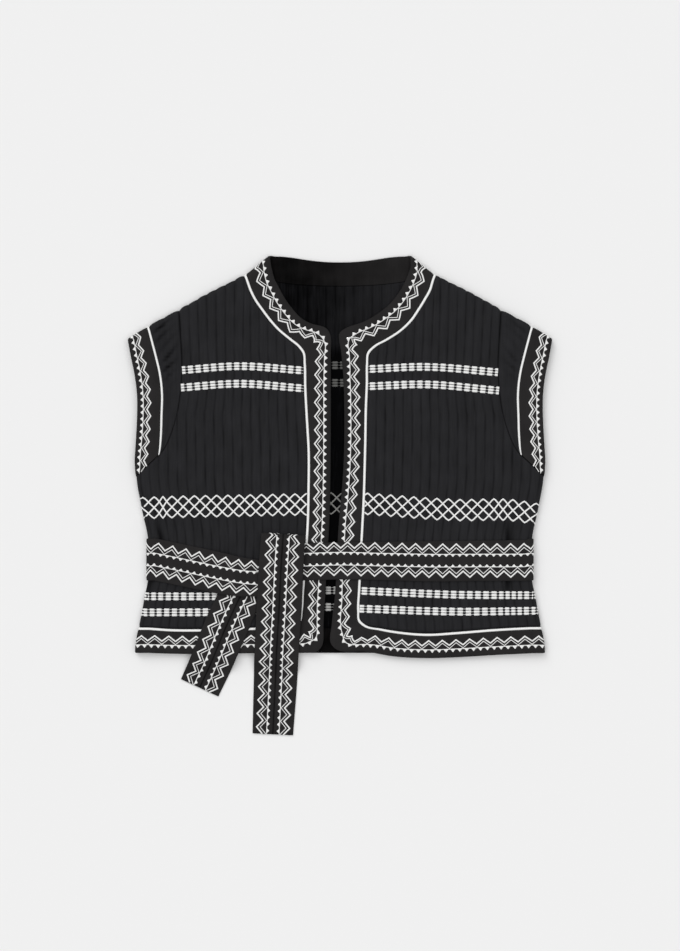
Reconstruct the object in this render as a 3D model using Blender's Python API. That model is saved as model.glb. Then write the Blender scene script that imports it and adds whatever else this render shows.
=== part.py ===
"""A cropped quilted vest with cap sleeves and a tied belt, laid flat with its back on a table.

The frame has +X to the right and +Y to the neck as one looks down on the vest, and +Z up from the table.
Left and right are as seen from above, with the fronts on top. Sizes and places are in millimetres, and
metres() turns them into Blender's units.

The vest is two layers of cloth. The back layer lies on the table with its outer face down, the fronts lie
on it with their outer face up, and both roll to half height at the side and shoulder folds, where they meet.
laid() turns a flat place on either layer into a point of the folded vest, so every piece that lies in or on
the cloth is made from the cloth's own surface. A wall is a grid of stations, each a pair of points: one on
the outer face and one on the inner face.
"""

import math

import bmesh
import bpy
import numpy as np

METRE_PER_MM = 0.001

# Cloth
QUILT = 3.0  # the quilted cloth: two faces with wadding between them
BAND_RISE = 0.4  # the doubled bands stand this much prouder than the quilted cloth
RIB_PITCH = 11.0  # between two rows of quilting
RIB_RISE = 0.9  # of a quilted rib over its stitching
RIB_FADE = 14.0  # from a side fold to where the ribs are full
SEAM_INSET = 0.2  # from a seam's line to the cloth on either side
ARMHOLE_INSET = 0.3
NECK_INSET = 0.7  # of a front at the piping round the neck, which its wide squares round off
NECK_POINT_INSET = 1.4  # of the back where its neck seam runs into the shoulder fold at a low angle
NECK_POINT_STEP = 2.4  # from a panel's neck point to its next column
FOLD_GAP = 0.15  # from half height to the end of each layer where they meet on a fold
FREE_EDGE = 1.5  # width of the rounding along a free edge
EDGE_DROP = 1.3  # of the outer face at a free edge
EDGE_TUCK = 0.7  # of the inner face there

NECK_SHOWS_Y = 140.0  # above this the back's inner face shows in the neck, so its ribs are raised
NECK_SHOWS_X = 108.0

# Piping, which is sewn in between the quilted cloth and a band
PIPING_HALF = 2.0
PIPING_RISE = 1.0
PIPING_EDGE_RISE = 0.2
PIPING_CROWN = 0.45  # half of the piping's raised top, as a share of its half width

# The lay of the vest
FOLD_HEIGHT = 9.6  # of both layers at the side and shoulder folds
MIDDLE_HEIGHT = 7.6  # of both layers in the middle
FOLD_RADIUS = FOLD_HEIGHT / 2
SOFT_REACH = 60.0  # from a fold to where the vest is as thin as in the middle
UNDERARM_Y = 22.0
UNDERARM_REACH_Y = 40.0
UNDERARM_RISE = 0.4
NECK_SLOPE = 0.79  # of the shoulder fold across the band at the neck
SHOULDER_SLOPE = 0.53
SLOPE_BLEND_X = 104.0  # where the neck's slope starts to turn into the shoulder's
SLOPE_BLEND_WIDTH = 16.0
CREASE_X = {-1: 214.0, 1: 199.0}  # of the upright crease that the belt pulls in beside each fold
CREASE_WIDTH = 7.0
CREASE_DEPTH = 1.5
CREASE_REACH = 34.0  # above and below the belt

# Belt
BELT = 1.6
BELT_WIDTH = 50.0
BELT_Y = -76.5  # its middle at the back
BELT_GAP = 0.3
BELT_CLEAR = 1.5  # from the fronts' cloth, over the ribs and the piping
CLEAR_REACH = 12.0  # from a side fold to where the belt clears the ribs
LAYER_STEP = BELT + BELT_GAP
LIFT_RAMP = 11.0  # over which the back comes down beside the belt under it
BELT_EDGE = 2.0  # width of the rounding along the belt's edges
BELT_EDGE_DROP = 0.35
LOOP_RADIUS = 0.4  # inside the long tail's fold over the knot
TROUGH_DEPTH = 0.6  # of the crease along a tail at the knot
TROUGH_HALF = 9.0
TROUGH_REACH = 70.0
TAIL_DROP_Y = (-193.0, -216.0)  # the tails come down from the hem to the table between these

FOLD_SHARES = (0.0, 1 / 3, 2 / 3, 1.0)  # stations across a fold, as shares of its radius from the fold
SHARP = math.radians(40)  # the least angle that is drawn as an edge
TURN_STEPS = 6  # of the belt round a side fold
STEPS = 2  # between two rows of a table
TAIL_STEPS = 4  # between two rows of a tail's table
SIDE_NAMES = {-1: "left", 1: "right"}

# Half of the outline at the shoulder fold: x and y from the neck point out to the sleeve's edge.
SHOULDER = (
    (85, 287),
    (93, 280.5),
    (111, 266),
    (124, 258.7),
    (153, 244.2),
    (192, 222.8),
    (219, 208.5),
    (232, 201.2),
    (254.2, 187.5),
)

# Half of the body's width at the side folds: y and x from the hem up to the underarm.
SIDE = (
    (-188, 245.4),
    (-170, 244),
    (-158, 241.2),
    (-140, 237.5),
    (-118, 233.5),
    (-103, 230.2),
    (-77, 230),
    (-51, 230),
    (-40, 232),
    (-24, 235.8),
    (-6, 239.3),
    (10, 242.4),
    (22, 243.8),
    (60, 243.8),
)

# Half of the armhole seam on either layer: x and y from the shoulder down to the underarm.
ARMHOLE = (
    (193.2, 236),
    (191.4, 205),
    (190, 180),
    (189, 156),
    (190.8, 126),
    (195.2, 97),
    (202.5, 73),
    (209, 58.6),
    (216, 48),
    (225, 39.5),
    (234.5, 30.6),
    (243.8, 21.8),
    (252, 14),
)
ARMHOLE_STEEP_Y = 65.0  # above this the seam is read as x by y
ARMHOLE_TOP_Y = 150.0  # below this it can be read as y by x
ARMHOLE_CORNER_X = 196.0  # of the panels' columns that turn up beside the seam

# Half of a cap sleeve from the underarm towards the shoulder fold: seam x, seam y, piping x, piping y, edge x
# and edge y.
SLEEVE = (
    (214.2, 50.9, 216.7, 48.9, 243.9, 22.7),
    (207.5, 61.9, 215.4, 57, 245.8, 40),
    (202.5, 73, 214.4, 70, 244.6, 62),
    (195.2, 97, 213.6, 94, 243, 92),
    (190.8, 126, 213, 122, 243, 120),
    (189, 156, 216, 148, 246.2, 146),
    (190, 180, 221.5, 171, 250.4, 166),
)
SLEEVE_FOLD_X = (192.7, 229.5, 254.2)

# The band round a front, from the shoulder fold round the neck, down the front and along the hem to the side
# fold: seam x, seam y, edge x, edge y and part.
BAND = {
    -1: (
        (-111, 257, -82, 273, "neck"),
        (-106.6, 245, -78.5, 260, "neck"),
        (-101, 234, -73.5, 250, "neck"),
        (-93, 222.6, -67, 238, "neck"),
        (-84, 210.6, -59, 226.5, "neck"),
        (-73.2, 198.6, -48, 214, "neck"),
        (-58.8, 186.6, -33.5, 205.8, "neck"),
        (-49, 178.6, -17, 200.8, "neck"),
        (-43.6, 171, -11.2, 192, "corner"),
        (-42.2, 158, -10.8, 170, "front"),
        (-41.6, 130, -10.8, 130, "front"),
        (-39.8, 95, -10.8, 95, "front"),
        (-37.4, 50, -11, 50, "front"),
        (-37.6, 10, -11.5, 10, "front"),
        (-38.9, -39.5, -13, -39.5, "front"),
        (-39.6, -50.5, -13.6, -50.5, "front"),
        (-43.4, -102.5, -16.6, -102.5, "front"),
        (-44.4, -113.5, -17.2, -113.5, "front"),
        (-46, -138, -19.5, -152, "front"),
        (-48, -150, -20.5, -177, "corner"),
        (-55, -156.4, -27, -186.4, "hem"),
        (-72, -158.6, -50, -187.8, "hem"),
        (-92, -159.2, -84, -188.4, "hem"),
        (-125, -160.4, -124, -189.2, "hem"),
        (-165, -161.5, -165, -189.8, "hem"),
        (-203, -161.2, -204, -189.4, "hem"),
        (-228, -159.4, -230, -188.4, "hem"),
    ),
    1: (
        (111, 257, 84.5, 273.5, "neck"),
        (107.6, 246, 80, 261, "neck"),
        (101.4, 234.6, 74, 249, "neck"),
        (94, 222.6, 66, 237, "neck"),
        (85.8, 210.6, 57, 227, "neck"),
        (73.8, 198.6, 44, 217.2, "neck"),
        (55.8, 186.6, 26.4, 207.5, "neck"),
        (41.5, 178.6, 7, 200.6, "neck"),
        (33.8, 170.5, -1.2, 193, "corner"),
        (32.4, 158, 1.2, 172, "front"),
        (32.2, 135, 4, 140, "front"),
        (31, 105, 5, 105, "front"),
        (30.4, 70, 5, 70, "front"),
        (29.6, 35, 4, 35, "front"),
        (28.6, 0, 1.5, 0, "front"),
        (26.6, -39.5, -2, -39.5, "front"),
        (26, -50.5, -2.6, -50.5, "front"),
        (23.4, -102.5, -5.1, -102.5, "front"),
        (22.9, -113.5, -5.6, -113.5, "front"),
        (21.8, -138, -10, -154, "front"),
        (23, -150, -11.5, -176, "corner"),
        (30, -156.2, -3, -185, "hem"),
        (48, -160.4, 30, -187, "hem"),
        (72, -164.4, 62, -192.4, "hem"),
        (102, -166.8, 98, -194.7, "hem"),
        (142, -164.6, 142, -193.6, "hem"),
        (182, -161.4, 186, -191, "hem"),
        (215, -159.4, 220, -189.3, "hem"),
        (228, -158.8, 231, -188.7, "hem"),
    ),
}
BAND_FOLD_X = (113.2, 84.4)  # the band's seam and edge at the shoulder fold

# Half of the neck band on the back layer: seam x, seam y, edge x and edge y from the middle of the back out.
BACK_NECK = (
    (0, 251, 0, 279.5),
    (16, 251.2, 14, 279.8),
    (32, 251.8, 28, 280.9),
    (50, 253, 43, 282.9),
    (68, 255, 58, 285.2),
    (84, 257.6, 70, 286.4),
    (99, 261.6, 77.5, 286.6),
)
BACK_HEM_SEAM_Y = -159.0
BACK_HEM_Y = -188.7

# The belt's two stretches over the fronts: x, middle y, width and layer from the side fold to the knot.
STRETCH = {
    -1: (
        (-222, -76.2, 50.6, 0),
        (-209, -78.8, 50.6, 0),
        (-194, -81.9, 50.6, 0),
        (-176, -85.8, 50.6, 0),
        (-158, -89.6, 50.4, 0.6),
        (-142, -92.8, 50, 1),
        (-118, -97, 47, 1),
        (-96, -98.8, 43.6, 1),
        (-72, -100, 42.6, 1),
        (-50, -101, 42, 1),
    ),
    1: (
        (222, -77.4, 48.8, 0),
        (209, -77.5, 48.8, 0),
        (194, -77.7, 48.6, 0),
        (168, -77.9, 48.4, 0),
        (117, -78.6, 48.3, 0),
        (60, -78.2, 46.6, 0),
        (0, -78, 44.6, 0),
        (-42, -79.2, 44.4, 0),
        (-80, -80, 42, 0),
    ),
}

# The belt's tails along their middle: x, y, width and height over the cloth and the table. The long one starts
# at its fold over the knot, and its hidden leg goes back down under it.
LONG_TAIL = (
    (-67.8, -47.9, 52.6, 6.2),
    (-70.2, -84, 53.4, 6.2),
    (-71.8, -116, 53.8, 6.1),
    (-73, -139, 54, 3.6),
    (-74.3, -160, 53.6, 1.7),
    (-75.8, -186, 53.2, 0.2),
    (-77.6, -226, 51.8, 0),
    (-80.6, -286.4, 48.6, 0),
)
HIDDEN_LEG = 42.0
SHORT_TAIL = (
    (-108, -98, 50, 0),
    (-121, -124, 51, 0),
    (-138, -161, 52, 0),
    (-152, -195, 51, 0),
    (-168.4, -230.6, 49.4, 0),
)

BLACK_COTTON = ("black_cotton", (0.019, 0.019, 0.021, 1.0), 0.85)
BLACK_TWILL = ("black_twill", (0.022, 0.021, 0.022, 1.0), 0.8)
WHITE_CORD = ("white_cord", (0.84, 0.84, 0.83, 1.0), 0.6)

# Heights of a panel's stations between its hem seam and the lowest one that follows the armhole.
BELT_TOP = BELT_Y + BELT_WIDTH / 2
BELT_BOTTOM = BELT_Y - BELT_WIDTH / 2
PANEL_YS = (
    -142,
    BELT_BOTTOM - 1 - LIFT_RAMP,
    BELT_BOTTOM - 1,
    BELT_Y,
    BELT_TOP + 1,
    BELT_TOP + 1 + LIFT_RAMP,
    -12,
    12,
)
UNDERARM_SHARES = (0.3, 0.65, 1.0)  # of the stations up to the armhole seam's lower stretch
SHOULDER_STATIONS = 6  # above them, up to where the shoulder fold starts
TOP_X = 150.0  # a place on the shoulder fold, from which the panels' tops are looked for
TOP_ROUNDS = 8


def metres(point):
    return [value * METRE_PER_MM for value in point]


def eased(share):
    """0 below 0, 1 above 1, and smooth between."""
    share = min(max(share, 0.0), 1.0)
    return share * share * (3 - 2 * share)


def curve(table):
    """A smooth function through rows of (place, value), straight on past either end. The places rise."""
    places, values = np.array(sorted(table), float).T
    slopes = np.gradient(values, places)

    def value(at):
        row = int(np.clip(np.searchsorted(places, at) - 1, 0, len(places) - 2))
        span = places[row + 1] - places[row]
        t = (at - places[row]) / span
        if not 0 <= t <= 1:
            end = row + (t > 1)
            return float(values[end] + slopes[end] * (at - places[end]))
        ends = (2 * t**3 - 3 * t**2 + 1) * values[row] + (3 * t**2 - 2 * t**3) * values[row + 1]
        turns = (t**3 - 2 * t**2 + t) * slopes[row] + (t**3 - t**2) * slopes[row + 1]
        return float(ends + span * turns)

    return value


def polyline(points):
    """A function straight from point to point."""
    places, values = np.array(sorted(points), float).T

    def value(at):
        return float(np.interp(at, places, values))

    return value


def along(rows, per_row):
    """Rows of a table joined by smooth curves, with per_row steps between two of them."""
    rows = np.array(rows, float)
    steps = np.linalg.norm(np.diff(rows[:, :2], axis=0), axis=1)
    places = np.concatenate([[0], np.cumsum(steps)])
    columns = [curve(zip(places, rows[:, column])) for column in range(rows.shape[1])]
    stops = np.interp(np.arange(per_row * (len(rows) - 1) + 1) / per_row, np.arange(len(rows)), places)
    return [[column(stop) for column in columns] for stop in stops]


shoulder_y = curve(SHOULDER)
half_width = curve(SIDE)
outline_half = curve([row for row in SIDE if row[0] < UNDERARM_Y] + [(row[5], row[4]) for row in SLEEVE])
smooth_armhole = along(ARMHOLE, 3)
armhole_x = curve([(y, x) for x, y in smooth_armhole])
armhole_y = curve([(x, y) for x, y in smooth_armhole if y < ARMHOLE_TOP_Y])


def side_of(x):
    return -1 if x < 0 else 1


def belt_lift(y):
    """How far the belt under the back holds the vest off the table."""
    outside = max(abs(y - BELT_Y) - BELT_WIDTH / 2 - 1, 0)
    return LAYER_STEP * (1 - min(outside / LIFT_RAMP, 1))


def nearest_fold(x, y):
    """The distance to the nearer fold, and the direction that leads in from it."""
    side = side_of(x)
    turn = eased((abs(x) - SLOPE_BLEND_X) / SLOPE_BLEND_WIDTH)
    slope = math.atan(NECK_SLOPE + (SHOULDER_SLOPE - NECK_SLOPE) * turn)
    from_shoulder = (shoulder_y(abs(x)) - y) * math.cos(slope)
    from_side = half_width(y) - abs(x)
    if y > UNDERARM_Y:  # the sleeve's free edge comes down to the side fold at the underarm
        from_side = outline_half(y) - abs(x) + (y - UNDERARM_Y) * UNDERARM_RISE
    if y < UNDERARM_REACH_Y and from_side < from_shoulder:
        return from_side, (-side, 0)
    return from_shoulder, (-side * math.sin(slope), -math.cos(slope))


def crease(x, y):
    """The upright crease that the belt pulls into the fronts beside each fold."""
    across = (abs(x) - CREASE_X[side_of(x)]) / CREASE_WIDTH
    outside = max(abs(y - BELT_Y) - BELT_WIDTH / 2, 0)
    return CREASE_DEPTH * math.exp(-across * across) * (1 - eased(outside / CREASE_REACH))


def top_height(x, y):
    """The fronts' outer face over the table, without ribs."""
    to_shoulder = (shoulder_y(abs(x)) - y) * math.cos(math.atan(SHOULDER_SLOPE))
    inside = min(outline_half(y) - abs(x), to_shoulder)
    puff = 1 - eased((inside - FOLD_RADIUS) / SOFT_REACH)
    return belt_lift(y) + MIDDLE_HEIGHT + (FOLD_HEIGHT - MIDDLE_HEIGHT) * puff - crease(x, y)


def laid(place, depth, front=True):
    """The point this deep in the cloth at a flat place on the front or the back layer."""
    x, y = place
    distance, (inward_x, inward_y) = nearest_fold(x, y)
    if not front and depth < 0:  # nothing is raised where the back lies on the table
        depth *= 1 - min(max(distance, 0) / FOLD_RADIUS, 1)
    if distance >= FOLD_RADIUS:
        return x, y, top_height(x, y) - depth if front else belt_lift(y) + depth
    angle = math.pi / 2 * max(distance, 0) / FOLD_RADIUS
    reach = FOLD_RADIUS - depth
    inwards = FOLD_RADIUS - distance - reach * math.cos(angle)
    rise = max(reach * math.sin(angle), FOLD_GAP)
    z = belt_lift(y) + FOLD_RADIUS + (rise if front else -rise)
    return x + inward_x * inwards, y + inward_y * inwards, z


def material(finish):
    name, colour, roughness = finish
    made = bpy.data.materials.get(name)
    if made is None:
        made = bpy.data.materials.new(name)
        made.use_nodes = True
        shader = made.node_tree.nodes["Principled BSDF"]
        shader.inputs["Base Color"].default_value = colour
        shader.inputs["Roughness"].default_value = roughness
        shader.inputs["Metallic"].default_value = 0.0
    return made


def grid_place(point, rows, columns):
    """The row and the column of a point of the flat grid from -1 to 1, in fractions of a square."""
    return (point.y + 1) / 2 * (rows - 1), (point.x + 1) / 2 * (columns - 1)


def wall(name, grid, finish, is_cut=None):
    """A wall of cloth from rows of stations. is_cut(row, column) says which squares of the grid are left out."""
    size = len(grid), len(grid[0])
    bm = bmesh.new()
    bmesh.ops.create_grid(bm, x_segments=size[1] - 1, y_segments=size[0] - 1, size=1)
    if is_cut:
        squares = [(face, grid_place(face.calc_center_median(), *size)) for face in bm.faces]
        cut = [face for face, (row, column) in squares if is_cut(int(row), int(column))]
        bmesh.ops.delete(bm, geom=cut, context="FACES")
    outer = [(vert, grid_place(vert.co, *size)) for vert in bm.verts]
    made = bmesh.ops.extrude_face_region(bm, geom=bm.faces[:], use_keep_orig=True)["geom"]
    inner = [(vert, grid_place(vert.co, *size)) for vert in made if isinstance(vert, bmesh.types.BMVert)]
    for face, verts in enumerate((outer, inner)):
        for vert, (row, column) in verts:
            vert.co = metres(grid[round(row)][round(column)][face])
    bmesh.ops.recalc_face_normals(bm, faces=bm.faces)
    if bm.calc_volume(signed=True) < 0:
        bmesh.ops.reverse_faces(bm, faces=bm.faces)
    mesh = bpy.data.meshes.new(name)
    bm.to_mesh(mesh)
    bm.free()
    mesh.shade_smooth()
    mesh.set_sharp_from_angle(angle=SHARP)
    mesh.materials.append(material(finish))
    piece = bpy.data.objects.new(name, mesh)
    bpy.context.scene.collection.objects.link(piece)
    return piece


def across(start, end):
    """The direction from one side of a row to the other."""
    step = np.subtract(end, start)
    return step / np.linalg.norm(step)


def strip(rows, stations):
    """The grid of a strip of cloth. A row is (start, end, front), and a station is (share, offset, outer, inner):
    its share of the way from start to end, the millimetres past that, and its two depths in the cloth."""
    grid = []
    for start, end, front in rows:
        way = across(start, end)
        places = [np.add(start, np.subtract(end, start) * share) + way * offset for share, offset, *_ in stations]
        depths = [station[2:] for station in stations]
        grid.append([(laid(p, outer, front), laid(p, inner, front)) for p, (outer, inner) in zip(places, depths)])
    return grid


def rolled(fold, row):
    """Rows from a fold in to where it is full, between the fold's places and those of the nearest row."""
    made = []
    for share in FOLD_SHARES:
        reach = [FOLD_RADIUS * share / nearest_fold(*place)[0] for place in row]
        made.append([np.add(end, np.subtract(place, end) * r) for end, place, r in zip(fold, row, reach)])
    return made


def band_rows(side):
    """The places across a front's band, from the shoulder fold to the side fold."""
    rows = [((r[0], r[1]), (r[2], r[3])) for r in along([row[:4] for row in BAND[side]], STEPS)]
    shoulder = [(side * x, shoulder_y(x)) for x in BAND_FOLD_X]
    flank = [(side * half_width(y), y) for _, y in rows[-1]]
    return rolled(shoulder, rows[0]) + rows + rolled(flank, rows[-1])[::-1]


def panel_seams(side):
    """A front panel's edge along the piping, by distance from the middle: neck y, hem y, and front x by y."""
    rows = along([row[:4] for row in BAND[side]], STEPS)
    labels = [row[4] for row in BAND[side]]
    top = STEPS * labels.index("corner")
    bottom = STEPS * labels.index("corner", top // STEPS + 1)
    points = []
    for index, row in enumerate(rows):
        inset = PIPING_HALF + (NECK_INSET if index < top else SEAM_INSET)
        x, y = np.subtract(row[:2], across(row[:2], row[2:]) * inset)
        points.append((side * x, y))
    fold = [(x, shoulder_y(x)) for x in BAND_FOLD_X]
    neck_point = tuple(np.subtract(fold[0], across(*fold) * (PIPING_HALF + NECK_INSET)))
    neck = polyline([neck_point] + points[: top + 1])
    hem = polyline(points[bottom:])
    front = polyline([(y, x) for x, y in points[top : bottom + 1]])
    return neck, hem, front, points[top], points[bottom], neck_point[0]


class Panel:
    """The stations of half of a body panel, counted out from its middle edge and up from its hem seam."""

    def __init__(self, neck, hem, front, top_corner, bottom_corner, neck_point_x, crest_at):
        self.neck, self.hem, self.front = neck, hem, front
        self.top_corner, self.bottom_corner = top_corner, bottom_corner
        self.neck_point_x = neck_point_x
        self.crest_at = crest_at  # 0 where a rib stands on the even columns, 1 on the odd ones
        self.width = half_width(UNDERARM_Y) - FOLD_RADIUS
        start = self.front_x(0)
        self.ribs = round((self.width - start) / (RIB_PITCH / 2))
        self.columns = self.ribs + len(FOLD_SHARES)
        self.corner = round((ARMHOLE_CORNER_X - start) / (self.width - start) * self.ribs)
        self.neck_column = round((neck_point_x - start) / (self.width - start) * self.ribs)
        self.armhole_row = 1 + len(PANEL_YS) + len(UNDERARM_SHARES) - 1
        self.rows = self.armhole_row + 1 + SHOULDER_STATIONS + len(FOLD_SHARES) - 1
        self.corner_y = armhole_y(self.column_x(self.corner, UNDERARM_Y) + ARMHOLE_INSET)

    def front_x(self, y):
        return self.front(min(max(y, self.bottom_corner[1]), self.top_corner[1]))

    def column_x(self, column, y):
        """A column's x where it runs to the side fold."""
        start = self.front_x(y)
        fold = half_width(min(y, UNDERARM_Y))
        if column >= self.ribs:
            return fold - FOLD_RADIUS * FOLD_SHARES[::-1][column - self.ribs]
        return start + (fold - FOLD_RADIUS - start) * column / self.ribs

    def upper_x(self, column, y):
        """A column's x where it runs up beside the armhole seam. One column leads to the neck point."""
        start = self.front_x(y)
        seam = armhole_x(y) - ARMHOLE_INSET
        even = start + (seam - start) * column / self.corner
        step = (seam - start) / self.corner
        neck_even = start + step * self.neck_column
        share = eased((y - self.corner_y) / (shoulder_y(self.neck_point_x) - self.corner_y))
        neck_x = neck_even + (self.neck_point_x - neck_even) * share
        beside_x = neck_x - step + (step - NECK_POINT_STEP) * share
        return float(np.interp(even, (start, neck_even - step, neck_even, seam), (start, beside_x, neck_x, seam)))

    def top_y(self, column):
        """Where a column ends, at the neck seam or at the shoulder fold."""
        y = shoulder_y(TOP_X)
        for _ in range(TOP_ROUNDS):
            x = self.upper_x(column, y)
            y = self.neck(x) if column <= self.neck_column else shoulder_y(x)
        return y

    def place(self, row, column):
        if column == 0 and row == 0:
            return self.bottom_corner
        if row <= len(PANEL_YS):
            y = self.hem(self.column_x(column, self.bottom_corner[1])) if row == 0 else PANEL_YS[row - 1]
            return self.column_x(column, y), y
        low = PANEL_YS[-1]
        if row <= self.armhole_row:
            limit = self.corner_y
            if column > self.corner:
                limit = armhole_y(self.column_x(column, UNDERARM_Y) + ARMHOLE_INSET) - ARMHOLE_INSET
            y = low + (limit - low) * UNDERARM_SHARES[row - len(PANEL_YS) - 1]
            return self.column_x(column, y), y
        top = self.top_y(column)
        fold = FOLD_RADIUS / math.cos(math.atan(SHOULDER_SLOPE))
        past = row - self.armhole_row
        if past <= SHOULDER_STATIONS:
            y = self.corner_y + (top - fold - self.corner_y) * past / SHOULDER_STATIONS
        else:
            y = top - fold * FOLD_SHARES[::-1][past - SHOULDER_STATIONS]
        if column == 0:
            return self.front_x(y), y
        return self.upper_x(column, y), y

    def is_cut(self, row, column):
        return row >= self.armhole_row and column >= self.corner

    def rib(self, row, column, place):
        """How far the cloth rises at a station. The ribs lie flat at the seams and at the side folds."""
        inside = 0 < row and (row < self.rows - 1 or column > self.neck_column)
        at_seam = column == 0 and self.crest_at == 1 or column == self.corner and row >= self.armhole_row
        if not inside or at_seam or column % 2 != self.crest_at:
            return 0.0
        return RIB_RISE * eased((half_width(min(place[1], UNDERARM_Y)) - place[0] - FOLD_RADIUS) / RIB_FADE)


def make_front(side):
    panel = Panel(*panel_seams(side), crest_at=1)
    grid = []
    for row in range(panel.rows):
        grid.append([])
        for column in range(panel.columns):
            x, y = panel.place(row, min(column, panel.corner) if row > panel.armhole_row else column)
            rise = panel.rib(row, column, (x, y))
            grid[row].append((laid((side * x, y), -rise), laid((side * x, y), QUILT)))
    return wall("front_" + SIDE_NAMES[side], grid, BLACK_COTTON, panel.is_cut)


def make_back():
    """The back panel, whose ribs are raised on the face that shows in the neck."""
    seam = [(x, y - SEAM_INSET) for x, y, *_ in along(BACK_NECK, STEPS)]
    neck_x = BAND_FOLD_X[0] + NECK_POINT_INSET
    neck_point = (neck_x, shoulder_y(neck_x))
    neck = polyline(seam + [neck_point])
    hem_y = BACK_HEM_SEAM_Y + SEAM_INSET
    top_corner, bottom_corner = (0, seam[0][1]), (0, hem_y)
    panel = Panel(neck, lambda x: hem_y, lambda y: 0.0, top_corner, bottom_corner, neck_point[0], crest_at=0)
    middle = panel.columns - 1
    grid = []
    for row in range(panel.rows):
        grid.append([])
        for count in range(2 * panel.columns - 1):
            column = abs(count - middle)
            x, y = panel.place(row, min(column, panel.corner) if row > panel.armhole_row else column)
            shows = y > NECK_SHOWS_Y and x < NECK_SHOWS_X and row < panel.rows - 1
            rise = panel.rib(row, column, (x, y)) if shows else 0.0
            place = (math.copysign(x, count - middle), y)
            grid[row].append((laid(place, 0, False), laid(place, QUILT + rise, False)))

    def is_cut(row, count):
        column = count - middle if count >= middle else middle - 1 - count
        return panel.is_cut(row, column)

    return wall("back_panel", grid, BLACK_COTTON, is_cut)


BAND_STATIONS = (
    (0, PIPING_HALF + SEAM_INSET, -BAND_RISE, QUILT),
    (0.5, 0, -BAND_RISE, QUILT),
    (1, -FREE_EDGE, -BAND_RISE, QUILT),
    (1, 0, EDGE_DROP - BAND_RISE, QUILT - EDGE_TUCK),
)
PIPING_STATIONS = (
    (0, SEAM_INSET - PIPING_HALF, -PIPING_EDGE_RISE, QUILT),
    (0, -PIPING_HALF * PIPING_CROWN, -PIPING_RISE, QUILT),
    (0, PIPING_HALF * PIPING_CROWN, -PIPING_RISE, QUILT),
    (0, PIPING_HALF - SEAM_INSET, -PIPING_EDGE_RISE, QUILT),
)
BACK_BAND_STATIONS = (
    (0, SEAM_INSET, 0, QUILT + BAND_RISE),
    (0.5, 0, 0, QUILT + BAND_RISE),
    (1, -FREE_EDGE, 0, QUILT + BAND_RISE),
    (1, 0, EDGE_TUCK, QUILT + BAND_RISE - EDGE_DROP),
)
CROWN_MARGIN = PIPING_HALF + SEAM_INSET  # that the piping takes from a sleeve's width
SLEEVE_STATIONS = (
    (0, 0, 0, QUILT),
    (0.25, -0.25 * CROWN_MARGIN, -RIB_RISE, QUILT),
    (0.5, -0.5 * CROWN_MARGIN, 0, QUILT),
    (0.75, -0.75 * CROWN_MARGIN, -RIB_RISE, QUILT),
    (1, -CROWN_MARGIN, 0, QUILT),
)


def make_band(side):
    rows = [(*row, True) for row in band_rows(side)]
    wall("band_" + SIDE_NAMES[side], strip(rows, BAND_STATIONS), BLACK_TWILL)
    wall("piping_" + SIDE_NAMES[side], strip(rows, PIPING_STATIONS), WHITE_CORD)


def make_back_bands():
    half = along(BACK_NECK, STEPS)
    fold = [(x, shoulder_y(x)) for x in BAND_FOLD_X]
    last = ((half[-1][0], half[-1][1]), (half[-1][2], half[-1][3]))
    right = [((r[0], r[1]), (r[2], r[3])) for r in half] + rolled(fold, last)[::-1]
    left = [tuple((-x, y) for x, y in row) for row in right[:0:-1]]
    rows = [(*row, False) for row in left + right]
    wall("back_neck_band", strip(rows, BACK_BAND_STATIONS), BLACK_TWILL)

    ys = (BACK_HEM_SEAM_Y, BACK_HEM_Y)
    ends = [half_width(y) for y in ys]
    xs = [[end - FOLD_RADIUS * share for end in ends] for share in FOLD_SHARES]
    places = [tuple(zip(x, ys)) for x in xs]
    left = [tuple((-x, y) for x, y in row) for row in places]
    rows = [(*row, False) for row in left + places[::-1]]
    wall("back_hem_band", strip(rows, BACK_BAND_STATIONS), BLACK_TWILL)


def sleeve_rows(side):
    """The places of the armhole seam, the piping and the free edge, round a sleeve from front to back."""
    front = []
    for x, y, *rest in along(SLEEVE, STEPS):
        seam = (x, armhole_y(x)) if y < ARMHOLE_STEEP_Y else (armhole_x(y), y)
        front.append(((seam[0] + ARMHOLE_INSET, seam[1] + ARMHOLE_INSET), rest[:2], rest[2:]))
    fold = [(x, shoulder_y(x)) for x in SLEEVE_FOLD_X]
    front += rolled(fold, front[-1])[::-1]
    rows = [(row, True) for row in front] + [(row, False) for row in front[::-1]]
    return [([(side * x, y) for x, y in row], is_front) for row, is_front in rows]


def make_sleeve(side):
    rows = sleeve_rows(side)
    crown = [(seam, piping, front) for (seam, piping, _), front in rows]
    cuff = [(piping, edge, front) for (_, piping, edge), front in rows]
    wall("sleeve_" + SIDE_NAMES[side], strip(crown, SLEEVE_STATIONS), BLACK_COTTON)
    wall("sleeve_piping_" + SIDE_NAMES[side], strip(cuff, PIPING_STATIONS), WHITE_CORD)
    wall("sleeve_band_" + SIDE_NAMES[side], strip(cuff, BAND_STATIONS), BLACK_TWILL)


BELT_STATIONS = (
    (-0.5, 0, BELT_EDGE_DROP),
    (-0.5, BELT_EDGE, 0),
    (0, 0, 0),
    (0.5, -BELT_EDGE, 0),
    (0.5, 0, BELT_EDGE_DROP),
)


def belt_seat(x, y):
    """The height of the belt's lower face over the fronts."""
    inside = half_width(BELT_Y) - abs(x) - FOLD_RADIUS
    clear = BELT_GAP + (BELT_CLEAR - BELT_GAP) * eased(inside / CLEAR_REACH)
    return top_height(x, y) + crease(x, y) + clear


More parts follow.
